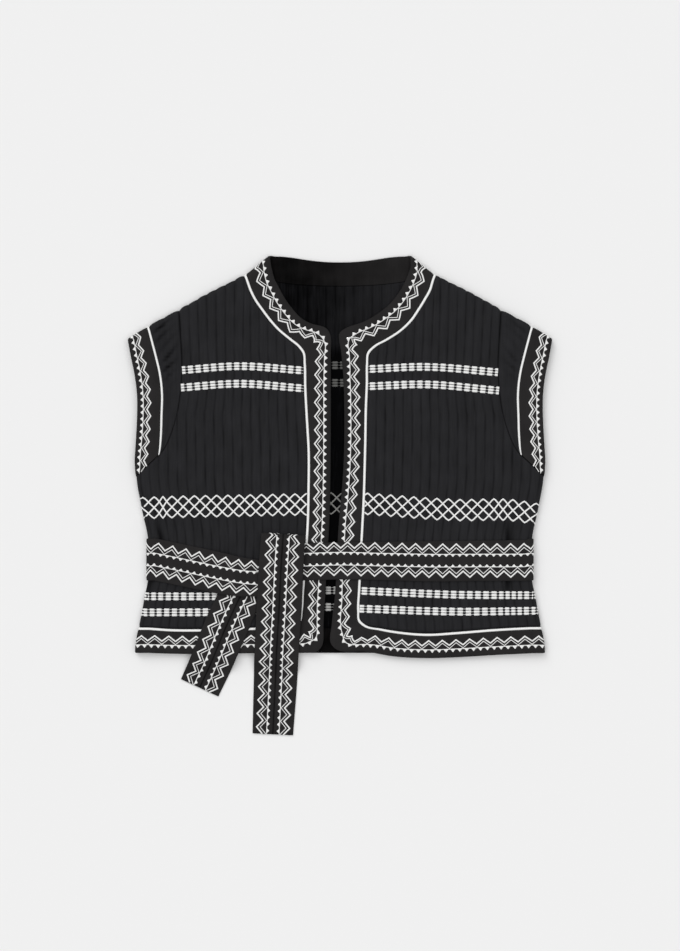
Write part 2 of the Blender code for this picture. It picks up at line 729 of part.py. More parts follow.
def stretch_rows(side):
    """The belt over a front, from the side fold to the knot."""
    grid = []
    for x, middle, width, layer in along(STRETCH[side], STEPS):
        row = []
        for share, offset, drop in BELT_STATIONS:
            y = middle + share * width + offset
            low = belt_seat(x, middle) + layer * LAYER_STEP
            row.append(((x, y, low + BELT - drop), (x, y, low)))
        grid.append(row)
    return grid


def turn_rows(side):
    """The belt round a side fold, from the top of the vest to the table."""
    centre_x = side * (half_width(BELT_Y) - FOLD_RADIUS)
    centre_z = LAYER_STEP + FOLD_RADIUS
    inner = FOLD_RADIUS + BELT_GAP
    grid = []
    for step in range(TURN_STEPS + 1):
        angle = math.pi / 2 - math.pi * step / TURN_STEPS
        row = []
        for share, offset, drop in BELT_STATIONS:
            y = BELT_Y + share * BELT_WIDTH + offset
            radii = (inner + BELT - drop, inner)
            points = [(centre_x + side * r * math.cos(angle), y, centre_z + r * math.sin(angle)) for r in radii]
            row.append(points)
        grid.append(row)
    return grid


def make_belt_round():
    """The belt from the knot over the left front, under the back and over the right front to the knot again."""
    left = stretch_rows(-1)[::-1] + turn_rows(-1)
    right = turn_rows(1)[::-1] + stretch_rows(1)
    wall("belt_round", left + right, BLACK_TWILL)


def tail_seat(x, y):
    """The height of a tail's lower face, over the fronts and then down past the hem to the table."""
    start, end = TAIL_DROP_Y
    over = belt_seat(x, min(max(y, start), BELT_TOP))
    return over * (1 - eased((start - y) / (start - end)))


def tail_place(place, way, width, station):
    """Where a station lies on a tail, and how far from its middle."""
    share, offset, _ = station
    v = share * width + offset
    return place[0] - way[1] * v, place[1] + way[0] * v, v


def tail_rows(table):
    """A tail along its middle, with a soft crease down it near the knot."""
    rows = along(table, TAIL_STEPS)
    grid = []
    for index, (x, y, width, height) in enumerate(rows):
        before, after = rows[max(index - 1, 0)], rows[min(index + 1, len(rows) - 1)]
        way = across(before[:2], after[:2])
        trough = TROUGH_DEPTH * (1 - eased((table[0][1] - y) / TROUGH_REACH))
        row = []
        for station in BELT_STATIONS:
            at_x, at_y, v = tail_place((x, y), way, width, station)
            low = tail_seat(at_x, at_y) + max(height, 0)
            sunk = trough * math.exp(-((v / TROUGH_HALF) ** 2))
            row.append(((at_x, at_y, low + BELT - station[2] - sunk), (at_x, at_y, low)))
        grid.append(row)
    return grid


def loop_rows(table):
    """The long tail's fold over the knot and its hidden leg, up to where the tail starts."""
    (x, y, width, height), (next_x, next_y, *_) = table[:2]
    way = across((x, y), (next_x, next_y))
    axis_z = tail_seat(x, y) + height - LOOP_RADIUS
    grid = []
    turns = [-math.pi / 2 + math.pi * step / TURN_STEPS for step in range(TURN_STEPS)]
    for leg, angle in [(HIDDEN_LEG, -math.pi / 2)] + [(0, angle) for angle in turns]:
        row = []
        for station in BELT_STATIONS:
            flat_x, flat_y, _ = tail_place((x, y), way, width, station)
            points = []
            for r in (LOOP_RADIUS + BELT - station[2], LOOP_RADIUS):
                ahead = leg - r * math.cos(angle)
                points.append((flat_x + way[0] * ahead, flat_y + way[1] * ahead, axis_z + r * math.sin(angle)))
            row.append(points)
        grid.append(row)
    return grid


def make_tails():
    wall("belt_tail_long", loop_rows(LONG_TAIL) + tail_rows(LONG_TAIL), BLACK_TWILL)
    wall("belt_tail_short", tail_rows(SHORT_TAIL), BLACK_TWILL)


def main():
    for old in list(bpy.data.objects):
        bpy.data.objects.remove(old, do_unlink=True)
    make_back()
    make_back_bands()
    for side in SIDE_NAMES:
        make_front(side)
        make_band(side)
        make_sleeve(side)
    make_belt_round()
    make_tails()


main()
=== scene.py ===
"""The looks of a cropped quilted vest with cap sleeves and a tied belt, laid flat with its back on a table.

The frame has +X to the right and +Y to the neck as one looks down on the vest, and +Z up from the table.
Shapes are worked out in millimetres and become metres when a mesh is made. Every cloth piece is a thin shell
on the form of the solid that it replaces. Its places come from laid(), which turns a flat place on the front
or the back layer into a point of the folded vest. The embroidery is raised thread, charted stitch by stitch
along the cloth that carries it.
"""

import math

import bmesh
import bpy
import numpy as np
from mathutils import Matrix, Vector


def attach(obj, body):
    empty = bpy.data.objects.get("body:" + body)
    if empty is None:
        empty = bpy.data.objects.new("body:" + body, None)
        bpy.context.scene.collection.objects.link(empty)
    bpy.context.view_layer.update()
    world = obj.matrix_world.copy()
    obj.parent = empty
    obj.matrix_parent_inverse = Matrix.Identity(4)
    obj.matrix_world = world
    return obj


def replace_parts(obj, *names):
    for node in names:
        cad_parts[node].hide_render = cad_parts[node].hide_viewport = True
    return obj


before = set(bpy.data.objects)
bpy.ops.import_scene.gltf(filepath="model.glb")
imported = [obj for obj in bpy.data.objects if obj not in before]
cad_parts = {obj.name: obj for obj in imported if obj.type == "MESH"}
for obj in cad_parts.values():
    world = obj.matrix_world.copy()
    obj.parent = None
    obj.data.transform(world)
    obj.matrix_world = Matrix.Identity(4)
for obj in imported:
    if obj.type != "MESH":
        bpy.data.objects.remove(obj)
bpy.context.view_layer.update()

MM = 0.001
SIDE_NAMES = {-1: "left", 1: "right"}

# Cloth
QUILT = 3.0  # thickness of the quilted cloth
BAND_RISE = 0.4  # the doubled bands stand this much prouder
FREE_EDGE = 1.5  # width of the rounding along a free edge
FREE_EDGE_TURNS = (25, 50, 70, 90)  # degrees of that rounding
FREE_EDGE_RISE = 0.3  # a back band's rise at its edge, as a share
HEM_MIDDLE = 1.5  # depth at which a free edge's two faces meet
BAND_SHARES = (0.28, 0.42, 0.56, 0.7, 0.84)
BAND_TUCK = ((0, 0.5), (0.5, -0.5), (1.6, -1))  # from a band's seam, the way across and the share of its rise
UNDER_ROOM = 0.5  # the back's outer face stays this far off the table, for its stitches
LEAST_ROOM = 0.1  # share of it that the piping leaves
TABLE_CLEAR = 0.02

# Quilting
RIB_PITCH = 11.0
RIB_RISE = 0.9
RIB_FADE = 14.0  # from a side fold to where the ribs are full
RIB_PLUMPNESS = 0.6  # under 1, a rib is round on top and its stitched groove narrow
RIB_WAVES = ((0.16, 17.0, 2.4), (0.14, 7.3, 4.1))  # share of the rise, length and shift from rib to rib
PRESSED_RIBS = 0.4  # share of the ribs that is left on the back's outside
# Painted shade along the stitched lines between the ribs, on top of their real relief
GROOVE_SHADE = 0.5
GROOVE_HALF = 0.19  # of a stitched line's painted dark middle, in half ribs
GROOVE_SHADE_SWING = 0.75  # how much of the painted shade comes and goes along a line
GROOVE_WAVES = ((19.0, 2.9), (8.3, 1.3))  # length and shift from line to line
# Painted shadow on the back's inside, darker on the left and where the fronts overhang it
INSIDE_PAINTED_SHADOW = (0.9, 0.3)  # painted shadow on the back's inside, on the left and on the right
INSIDE_SHADOW_TURN = (-60.0, 70.0)  # between these the one becomes the other
INSIDE_GROOVE_SHADE = 0.4
GAP_TOP = 200.0  # below this the fronts' shadow is painted on the inside
GAP_TURN = 30.0

# Seams
SEAM_SINK = 4.0  # width over which the wadding thins towards a seam
SEAM_START = 1.0  # how far past the seam it would end
SEAM_SHADE = 1.2  # width of the painted shade line at a seam
# how much painted shade that line has
SEAM_DARK = 0.5
SEAM_INSET = 0.15
BACK_INSET = 0.05
NECK_INSET = 0.3
ARMHOLE_INSET = 0.15

# Piping
PIPING_HALF = 1.6
SLEEVE_PIPING_HALF = 1.45
PIPING_GAP = 0.1  # on either side
PIPING_RISE = 1.3
PIPING_SINK = 0.5
PIPING_TURN = 22.5
PIPING_ROUND = 0.8  # under 1, its top is flatter than a half round
BACK_PIPING_SINK = 0.2
BACK_PIPING_INNER = 1.2

# Wrinkles on the sleeves
PUCKER_RISE = 0.55
# painted shade on the wrinkles' low sides, on the left and on the right
PUCKER_SHADE = {-1: 0.85, 1: 0.35}
PUCKER_PITCH = 14.0
PUCKER_LOW_Y = 122.0
PUCKER_REACH = 36.0
PUCKER_OFF_FOLD = 1.5  # from the shoulder fold to where they are full, in fold radii
PUCKER_LEAN = 1.5  # over 1, they lie nearer the piping than the seam
PUCKER_SWAY = (0.9, 8.0)  # size and length
PUCKER_FADE = (0.35, 4.7, 11.0)  # size, and length across and along
SLEEVE_RIBS = 2

# How finely the cloth is divided
RIB_STEPS = (0, 0.12, 0.34, 0.64, 1, 1.36, 1.66, 1.88)  # across one rib, in half ribs from its groove
ROW_STEP = 4.0
FIRST_Y = -142.0  # the even rows of a panel run from here
LOW_Y = 12.0  # to here
HEM_ROWS = 5
NECK_ROWS = 8  # more rows for the columns that run up to the neck point
TOP_ROUNDS = 8
TOP_START_X = 150.0
NECK_POINT_STEP = 2.4
ARMHOLE_CORNER_X = 196.0
FOLD_STEPS = 5
SEAM_STEPS = 6  # between two rows of a table, as in the next four
BAND_STEPS = 8
SLEEVE_STEPS = 8
STRETCH_STEPS = 8
TAIL_STEPS = 10
CROWN_STEPS = 12  # between a sleeve's table and where it turns over the fold
CROWN_COLUMNS = 17
BACK_HEM_STEP = 6
BACK_HEM_REACH = 240

# The lay of the vest
FOLD_HEIGHT = 9.6
MIDDLE_HEIGHT = 7.6
FOLD_RADIUS = FOLD_HEIGHT / 2
FOLD_GAP = 0.05
SOFT_REACH = 60.0  # from the folds to where the fronts lie at their middle height
UNDERARM_Y = 22.0
UNDERARM_REACH_Y = 40.0
UNDERARM_RISE = 0.4
NECK_SLOPE = 0.79
SHOULDER_SLOPE = 0.53
SLOPE_BLEND = (104.0, 16.0)  # where the neck's slope starts to turn into the shoulder's, and how wide

# Seams cross the folds at these places, and draw them in.
SHOULDER_SEAMS = (114.0, 192.7, 229.5)
SIDE_SEAMS = (-159.0,)
NOTCH_DEPTH = 1.1
NOTCH_WIDTH = 3.0

# The creases beside the belt: place at its upper edge, lean, and how wide they are inwards and outwards.
CREASES = {-1: (214.5, 0.28, 7.0, 2.6), 1: (199.5, 0.0, 2.6, 8.0)}
CREASE_DEPTH = 2.4
CREASE_REACH = 38.0
# painted shade on the creases' steep sides
CREASE_SHADE = 0.8

# Belt
BELT = 1.6  # thickness
BELT_WIDTH = 50.0
BELT_Y = -76.5
BELT_TOP = BELT_Y + BELT_WIDTH / 2
BELT_GAP = 0.3
BELT_CLEAR = 1.5
CLEAR_REACH = 12.0
LAYER_STEP = BELT + BELT_GAP
LIFT_MARGIN = 1.0
LIFT_RAMP = 11.0
TAIL_DROP_Y = (-193.0, -216.0)
TROUGH_DEPTH = 0.6  # of a tail's middle where the knot draws it in
TROUGH_HALF = 9.0
TROUGH_REACH = 70.0
PRESS_SHADE = 0.9  # painted shade of the line that is pressed along a tail's middle
PRESS_DEPTH = 0.35
PRESS_HALF = 0.03
LOOP_RADIUS = 0.4
HIDDEN_LEG = 42.0
TURN_STEPS = 14
UNDER_COLUMNS = 92
HALF_SHARES = (0.03, 0.08, 0.25, 0.5, 0.75, 0.9, 0.955, 0.985, 1)  # of half its width, from the middle
EDGE_ROUND = ((0.9, 0), (0.955, 0.08), (0.985, 0.35), (1, 0.75))  # that share, and how far it is down
UNDER_ROUND = 0.9  # share of that rounding on the lower face

# Half of the outline at the shoulder fold: x and y from the neck point out to the sleeve's edge.
SHOULDER = (
    (85, 287),
    (93, 280.5),
    (111, 266),
    (124, 258.7),
    (153, 244.2),
    (192, 222.8),
    (219, 208.5),
    (232, 201.2),
    (254.2, 187.5),
)

# Half of the body's width at the side folds: y and x from the hem up to the underarm.
SIDE = (
    (-188, 245.4),
    (-170, 244),
    (-158, 241.2),
    (-140, 237.5),
    (-118, 233.5),
    (-103, 230.2),
    (-77, 230),
    (-51, 230),
    (-40, 232),
    (-24, 235.8),
    (-6, 239.3),
    (10, 242.4),
    (22, 243.8),
    (60, 243.8),
)

# Half of the armhole seam: x and y from the shoulder down to the underarm.
ARMHOLE = (
    (193.2, 236),
    (191.4, 205),
    (190, 180),
    (189, 156),
    (190.8, 126),
    (195.2, 97),
    (202.5, 73),
    (209, 58.6),
    (216, 49.2),
    (225, 40.7),
    (234.5, 31.55),
    (243.8, 22.6),
    (252, 14.8),
)
ARMHOLE_STEEP_Y = 65.0  # above this the seam is read as x by y
ARMHOLE_TOP_Y = 150.0  # below this it is read as y by x
ARMHOLE_END_X = 250.0
ARMHOLE_STEPS = 3

# Half of a cap sleeve from the underarm towards the shoulder fold: seam x, seam y, piping x, piping y, edge x
# and edge y.
SLEEVE = (
    (214.2, 50.9, 216.7, 48.9, 243.9, 22.7),
    (207.5, 61.9, 215.4, 57, 245.8, 40),
    (202.5, 73, 214.4, 70, 244.6, 62),
    (195.2, 97, 213.6, 94, 243, 92),
    (190.8, 126, 213, 122, 243, 120),
    (189, 156, 216, 148, 246.2, 146),
    (190, 180, 221.5, 171, 250.4, 166),
)
SLEEVE_FOLD_X = (192.7, 229.5, 254.2)

# The band round a front, from the shoulder fold round the neck, down the front and along the hem to the side
# fold: seam x, seam y, edge x, edge y and part.
BAND = {
    -1: (
        (-111, 257, -82, 273, "neck"),
        (-106.6, 245, -78.5, 260, "neck"),
        (-101, 234, -73.5, 250, "neck"),
        (-93, 222.6, -67, 238, "neck"),
        (-84, 210.6, -59, 226.5, "neck"),
        (-73.2, 198.6, -48, 214, "neck"),
        (-58.8, 186.6, -33.5, 205.8, "neck"),
        (-49, 178.6, -17, 200.8, "neck"),
        (-43.6, 171, -11.2, 192, "corner"),
        (-42.2, 158, -10.8, 170, "front"),
        (-41.6, 130, -10.8, 130, "front"),
        (-39.8, 95, -10.8, 95, "front"),
        (-37.4, 50, -11, 50, "front"),
        (-37.6, 10, -11.5, 10, "front"),
        (-38.9, -39.5, -13, -39.5, "front"),
        (-39.6, -50.5, -13.6, -50.5, "front"),
        (-43.4, -102.5, -16.6, -102.5, "front"),
        (-44.4, -113.5, -17.2, -113.5, "front"),
        (-46, -138, -19.5, -152, "front"),
        (-48, -150, -20.5, -177, "corner"),
        (-55, -156.4, -27, -186.4, "hem"),
        (-72, -158.6, -50, -187.8, "hem"),
        (-92, -159.2, -84, -188.4, "hem"),
        (-125, -160.4, -124, -189.2, "hem"),
        (-165, -161.5, -165, -189.8, "hem"),
        (-203, -161.2, -204, -189.4, "hem"),
        (-228, -159.4, -230, -188.4, "hem"),
    ),
    1: (
        (111, 257, 84.5, 273.5, "neck"),
        (107.6, 246, 80, 261, "neck"),
        (101.4, 234.6, 74, 249, "neck"),
        (94, 222.6, 66, 237, "neck"),
        (85.8, 210.6, 57, 227, "neck"),
        (73.8, 198.6, 44, 217.2, "neck"),
        (55.8, 186.6, 26.4, 207.5, "neck"),
        (41.5, 178.6, 7, 200.6, "neck"),
        (33.8, 170.5, -1.2, 193, "corner"),
        (32.4, 158, 1.2, 172, "front"),
        (32.2, 135, 4, 140, "front"),
        (31, 105, 5, 105, "front"),
        (30.4, 70, 5, 70, "front"),
        (29.6, 35, 4, 35, "front"),
        (28.6, 0, 1.5, 0, "front"),
        (26.6, -39.5, -2, -39.5, "front"),
        (26, -50.5, -2.6, -50.5, "front"),
        (23.4, -102.5, -5.1, -102.5, "front"),
        (22.9, -113.5, -5.6, -113.5, "front"),
        (21.8, -138, -10, -154, "front"),
        (23, -150, -11.5, -176, "corner"),
        (30, -156.2, -3, -185, "hem"),
        (48, -160.4, 30, -187, "hem"),
        (72, -164.4, 62, -192.4, "hem"),
        (102, -166.8, 98, -194.7, "hem"),
        (142, -164.6, 142, -193.6, "hem"),
        (182, -161.4, 186, -191, "hem"),
        (215, -159.4, 220, -189.3, "hem"),
        (228, -158.8, 231, -188.7, "hem"),
    ),
}
BAND_FOLD_X = (113.2, 84.4)  # the band's seam and edge at the shoulder fold
BACK_NECK_OUT = 1.0  # from that seam out to the back's neck point

# Half of the neck band on the back layer: seam x, seam y, edge x and edge y from the middle of the back out.
BACK_NECK = (
    (0, 251, 0, 279.5),
    (16, 251.2, 14, 279.8),
    (32, 251.8, 28, 280.9),
    (50, 253, 43, 282.9),
    (68, 255, 58, 285.2),
    (84, 257.6, 70, 286.4),
    (99, 261.6, 77.5, 286.6),
)
BACK_HEM_SEAM_Y = -159.0
BACK_HEM_Y = -188.7

# The belt's two stretches over the fronts: x, middle y, width and layer from the side fold to the knot.
STRETCH = {
    -1: (
        (-222, -76.2, 50.6, 0),
        (-209, -78.8, 50.6, 0),
        (-194, -81.9, 50.6, 0),
        (-176, -85.8, 50.6, 0),
        (-158, -89.6, 50.4, 0.6),
        (-142, -92.8, 50, 1),
        (-118, -97, 47, 1),
        (-96, -98.8, 43.6, 1),
        (-72, -100, 42.6, 1),
        (-50, -101, 42, 1),
    ),
    1: (
        (222, -77.4, 48.8, 0),
        (209, -77.5, 48.8, 0),
        (194, -77.7, 48.6, 0),
        (168, -77.9, 48.4, 0),
        (117, -78.6, 48.3, 0),
        (60, -78.2, 46.6, 0),
        (0, -78, 44.6, 0),
        (-42, -79.2, 44.4, 0),
        (-80, -80, 42, 0),
    ),
}

# The belt's tails along their middle: x, y, width and height over the cloth and the table.
LONG_TAIL = (
    (-67.8, -47.9, 52.6, 6.2),
    (-70.2, -84, 53.4, 6.2),
    (-71.8, -116, 53.8, 6.1),
    (-73, -139, 54, 3.6),
    (-74.3, -160, 53.6, 1.7),
    (-75.8, -186, 53.2, 0.2),
    (-77.6, -226, 51.8, 0),
    (-80.6, -286.4, 48.6, 0),
)
SHORT_TAIL = (
    (-108, -98, 50, 0),
    (-121, -124, 51, 0),
    (-138, -161, 52, 0),
    (-152, -195, 51, 0),
    (-168.4, -230.6, 49.4, 0),
)

# The braids: pitch, picot tip, thin valleys, thin peaks, thick valleys and thick peaks. Across a braid, 0 is
# the base line of its picots, and the far side of the zigzags is positive.
BRAIDS = {
    "band": (16.6, -3.6, 0.9, 7.4, 4.6, 10.8),
    "sleeve": (15.6, -3.2, 0.8, 6.3, 4.3, 9.0),
    "belt": (16.2, -2.9, 0.8, 8.0, 5.0, 12.3),
}
BASE_HALF = 0.52
THIN_HALF = 0.48
THICK_HALF = 0.9
PICOT_BASE = 6.6
PICOT_SHARES = (0.0, 0.35, 0.7, 1.0)  # from its base to its tip
PICOT_TAPER = 0.88  # how much narrower the tip is than the base
PICOT_DROP = 0.3  # how much lower
BRAID_STEPS = 8  # from one corner of a zigzag to the next
SLEEVE_BASE = 8.6  # from a sleeve's free edge to the base line
BACK_BASE = 10.0
BELT_BASE = 7.6  # from the belt's middle to the base lines
BELT_SLIP = ((-60, 0), (-50, 2.6), (0, 2.6), (45, 1.6), (120, 0.7), (200, 0))  # how far up they lie, by x
THREAD_RISE = 0.4
THICK_RISE = 0.6

# From a band's free edge to the base line of its braid, by the row of its table.
BAND_BASE = {
    -1: (
        (-1, 12.0),
        (0, 11.5),
        (3, 12.0),
        (6, 12.4),
        (7, 13.4),
        (8, 11.3),
        (8.5, 8.9),
        (9, 9.4),
        (10, 9.8),
        (18, 10.0),
        (19, 11.9),
        (20, 16.4),
        (21, 14.6),
        (22, 11.6),
        (27, 11.2),
    ),
    1: (
        (-1, 10.4),
        (0, 10.8),
        (3, 12.0),
        (6, 12.6),
        (7, 15.0),
        (8, 15.0),
        (8.5, 13.4),
        (9, 12.2),
        (10, 9.2),
        (18, 9.2),
        (19, 12.8),
        (20, 19.6),
        (21, 14.4),
        (22, 11.5),
        (29, 11.1),
    ),
}

# Block stripes and the lattice. A block's profile is the place in a pitch and how full it is there.
BLOCK_PROFILE = ((-0.5, 0), (-0.35, 0), (-0.31, 1), (0, 1), (0.31, 1), (0.35, 0))
BLOCK_BARS = (-3.3, 0.0, 3.3)  # across the stripe
BAR_HALF = 1.48
BAR_RISE = 0.6
BRIDGE_HALF = 0.25
BRIDGE_RISE = 0.2
END_ROOM = 0.1  # least way from a stripe's end to the next change in its width
LATTICE_CORNER = 0.992  # 1 is a sharp corner
LATTICE_HALF = 12.7  # half of its height, to the thread's middle
LATTICE_THREAD = 0.95
LATTICE_RISE = 0.6
LATTICE_DIP = 0.12  # of a thread where it crosses under another
LATTICE_STEPS = 6  # in a pitch

# The block stripes, two by two: three x, and for each stripe three y, the middle of one block, and the pitch.
STRIPES = {
    "upper": {
        -1: ((-192, -120, -46), ((149.8, 154.8, 149.8, -58.9, 9.23), (129, 133.8, 128.4, -58.9, 9.32))),
        1: ((36, 100, 192), ((151.4, 154, 147.2, 48.5, 9.35), (130.8, 133, 125.4, 48.5, 9.43))),
    },
    "lower": {
        -1: (
            (-236, -140, -47),
            ((-120.6, -120.4, -116.5, -168.6, 9.2), (-139.8, -139.4, -136, -170.3, 9.26)),
        ),
        1: ((27, 144, 236), ((-114.1, -118.8, -119.3, 97.2, 9.7), (-135.6, -139, -137.8, 94.6, 9.86))),
    },
}

# The back's stripes: y, the middle of one block, and how far they reach to either side.
BACK_STRIPES = {
    "upper": ((156.1, -6.0, 187), (135.0, -6.0, 187)),
    "lower": ((-113.6, -14.1, 238), (-133.7, -14.1, 238)),
}
BACK_PITCH = 9.48

# The lattice: its middle line by x and y, the place of one of its upper corners, and the pitch.
LATTICE = {
    -1: ((-243, -203, -134, -40), (-15.3, -13.8, -12.4, -10.6), -120.8, 13.38),
    1: ((30, 142, 208, 243), (-9.8, -17.4, -17.8, -23.7), 116.1, 13.83),
}
BACK_LATTICE = ((-240, 0, 240), (-15.3, -9.6, -23.7), -10.8, 13.75)
BACK_LATTICE_REACH = 238

# Cloth that creases take in: where from, over what width, and how much.
GATHERS = {
    "upper": {},
    "lattice": {-1: (205.0, 14.0, 5.5), 1: (176.0, 32.0, 6.0)},
    "lower": {-1: (212.0, 20.0, 1.5), 1: (184.0, 44.0, 10.0)},
}
GATHER_PLACES = 400  # at which the way along the cloth is worked out


def eased(share):
    """0 below 0, 1 above 1, and smooth between."""
    share = np.clip(share, 0.0, 1.0)
    return share * share * (3 - 2 * share)


def curve(table):
    """A smooth function through rows of (place, value), straight on past either end."""
    places, values = np.array(sorted(table), float).T
    slopes = np.gradient(values, places)

    def value(at):
        at = np.asarray(at, float)
        row = np.clip(np.searchsorted(places, at) - 1, 0, len(places) - 2)
        span = places[row + 1] - places[row]
        t = (at - places[row]) / span
        past = t - np.clip(t, 0, 1)
        t = t - past
        ends = (2 * t**3 - 3 * t**2 + 1) * values[row] + (3 * t**2 - 2 * t**3) * values[row + 1]
        turns = (t**3 - 2 * t**2 + t) * slopes[row] + (t**3 - t**2) * slopes[row + 1]
        return ends + span * (turns + past * slopes[np.where(past > 0, row + 1, row)])

    return value


def polyline(points):
    """A function straight from point to point."""
    places, values = np.array(sorted(map(tuple, points)), float).T
    return lambda at: np.interp(at, places, values)


def way_along(points):
    """The way along a line of points from its start."""
    steps = np.linalg.norm(np.diff(points, axis=0), axis=1)
    return np.concatenate([[0], np.cumsum(steps)])


def along(rows, per_row):
    """Rows of a table joined by smooth curves, with per_row steps between two of them."""
    rows = np.array(rows, float)
    places = way_along(rows[:, :2])
    stops = np.interp(np.arange(per_row * (len(rows) - 1) + 1) / per_row, np.arange(len(rows)), places)
    return np.stack([curve(zip(places, rows[:, column]))(stops) for column in range(rows.shape[1])], axis=1)


def unit(vectors):
    return vectors / np.maximum(np.linalg.norm(vectors, axis=-1, keepdims=True), 1e-9)


shoulder_line = curve(SHOULDER)
side_line = curve(SIDE)
outline_half = curve([row for row in SIDE if row[0] < UNDERARM_Y] + [(row[5], row[4]) for row in SLEEVE])
smooth_armhole = along(ARMHOLE, ARMHOLE_STEPS)
armhole_x = curve([(y, x) for x, y in smooth_armhole])
armhole_y = curve([(x, y) for x, y in smooth_armhole if y < ARMHOLE_TOP_Y])


def notch(at, places, depth):
    """How far a fold is drawn in where seams cross it."""
    return depth * sum(np.exp(-(((at - place) / NOTCH_WIDTH) ** 2)) for place in places)


def shoulder_y(x):
    return shoulder_line(x) - notch(np.asarray(x, float), SHOULDER_SEAMS, NOTCH_DEPTH)


def half_width(y):
    return side_line(y) - notch(np.asarray(y, float), SIDE_SEAMS, NOTCH_DEPTH)


def side_of(x):
    return np.where(np.asarray(x) < 0, -1, 1)


def belt_lift(y):
    """How far the belt under the back holds the vest off the table."""
    outside = np.maximum(np.abs(y - BELT_Y) - BELT_WIDTH / 2 - LIFT_MARGIN, 0)
    return LAYER_STEP * (1 - np.minimum(outside / LIFT_RAMP, 1))


def nearest_fold(x, y):
    """The distance to the nearer fold, and the direction that leads in from it."""
    side = side_of(x)
    turn = eased((np.abs(x) - SLOPE_BLEND[0]) / SLOPE_BLEND[1])
    slope = np.arctan(NECK_SLOPE + (SHOULDER_SLOPE - NECK_SLOPE) * turn)
    from_shoulder = (shoulder_y(np.abs(x)) - y) * np.cos(slope)
    at_sleeve = outline_half(y) - np.abs(x) + (y - UNDERARM_Y) * UNDERARM_RISE
    from_side = np.where(y > UNDERARM_Y, at_sleeve, half_width(y) - np.abs(x))
    at_side = (y < UNDERARM_REACH_Y) & (from_side < from_shoulder)
    inward_x = np.where(at_side, -side, -side * np.sin(slope))
    inward_y = np.where(at_side, 0.0, -np.cos(slope))
    return np.where(at_side, from_side, from_shoulder), inward_x, inward_y


def crease(x, y):
    """The upright crease that the belt pulls into the fronts beside each fold."""
    columns = zip(CREASES[-1], CREASES[1])
    place, lean, to_middle, to_fold = (np.where(side_of(x) < 0, left, right) for left, right in columns)
    across = np.abs(x) - place - lean * np.abs(y - BELT_TOP)
    across = across / np.where(across < 0, to_middle, to_fold)
    outside = np.maximum(np.abs(y - BELT_Y) - BELT_WIDTH / 2, 0)
    return CREASE_DEPTH * np.exp(-across * across) * (1 - eased(outside / CREASE_REACH))


def top_height(x, y):
    """The fronts' outer face over the table, without ribs."""
    to_shoulder = (shoulder_y(np.abs(x)) - y) * math.cos(math.atan(SHOULDER_SLOPE))
    inside = np.minimum(outline_half(y) - np.abs(x), to_shoulder)
    puff = 1 - eased((inside - FOLD_RADIUS) / SOFT_REACH)
    return belt_lift(y) + MIDDLE_HEIGHT + (FOLD_HEIGHT - MIDDLE_HEIGHT) * puff - crease(x, y)


def laid(x, y, depth, front):
    """The points this deep in the cloth at flat places on the front or the back layer."""
    x, y, depth, front = np.broadcast_arrays(x, y, depth, front)
    distance, inward_x, inward_y = nearest_fold(x, y)
    near = np.clip(distance / FOLD_RADIUS, 0, 1)
    depth = np.where(~front & (depth < 0), depth * (1 - near), depth)
    angle = math.pi / 2 * near
    reach = FOLD_RADIUS - depth
    inwards = FOLD_RADIUS - distance - reach * np.cos(angle)
    rise = np.maximum(reach * np.sin(angle), FOLD_GAP)
    rolled_z = belt_lift(y) + FOLD_RADIUS + np.where(front, rise, -rise)
    flat_z = np.where(front, top_height(x, y) - depth, belt_lift(y) + depth)
    is_flat = distance >= FOLD_RADIUS
    at_x = np.where(is_flat, x, x + inward_x * inwards)
    at_y = np.where(is_flat, y, y + inward_y * inwards)
    return np.stack([at_x, at_y, np.where(is_flat, flat_z, rolled_z)], axis=-1)


def facing(x, y, front):
    """The way that the outer face looks at flat places."""
    distance, inward_x, inward_y = nearest_fold(x, y)
    angle = math.pi / 2 * np.clip(distance / FOLD_RADIUS, 0, 1)
    up = np.where(front, 1.0, -1.0) * np.sin(angle)
    return np.stack([-inward_x * np.cos(angle), -inward_y * np.cos(angle), up], axis=-1)


def under_room(x, y):
    """How far the back's outer face is held off the table. It comes down to the folds."""
    return UNDER_ROOM * eased(nearest_fold(x, y)[0] / (2 * FOLD_RADIUS))


# Meshes


def lattice_mesh(rows, columns, kept, is_wall):
    """A flat grid with a vertex at each (column, row). A wall has another below, joined at the rim."""
    bm = bmesh.new()
    bmesh.ops.create_grid(bm, x_segments=columns - 1, y_segments=rows - 1, size=0.5)
    bmesh.ops.scale(bm, vec=(columns - 1, rows - 1, 1), verts=bm.verts)
    bmesh.ops.translate(bm, vec=((columns - 1) / 2, (rows - 1) / 2, 0), verts=bm.verts)
    if kept is not None:
        centres = [(face, face.calc_center_median()) for face in bm.faces]
        left_out = [face for face, centre in centres if not kept[int(centre.y), int(centre.x)]]
        bmesh.ops.delete(bm, geom=left_out, context="FACES")
    if is_wall:
        made = bmesh.ops.extrude_face_region(bm, geom=bm.faces[:], use_keep_orig=True)["geom"]
        lower = [vert for vert in made if isinstance(vert, bmesh.types.BMVert)]
        bmesh.ops.translate(bm, vec=(0, 0, -1), verts=lower)
        bmesh.ops.recalc_face_normals(bm, faces=bm.faces)
    mesh = bpy.data.meshes.new("cloth")
    bm.to_mesh(mesh)
    bm.free()
    return mesh


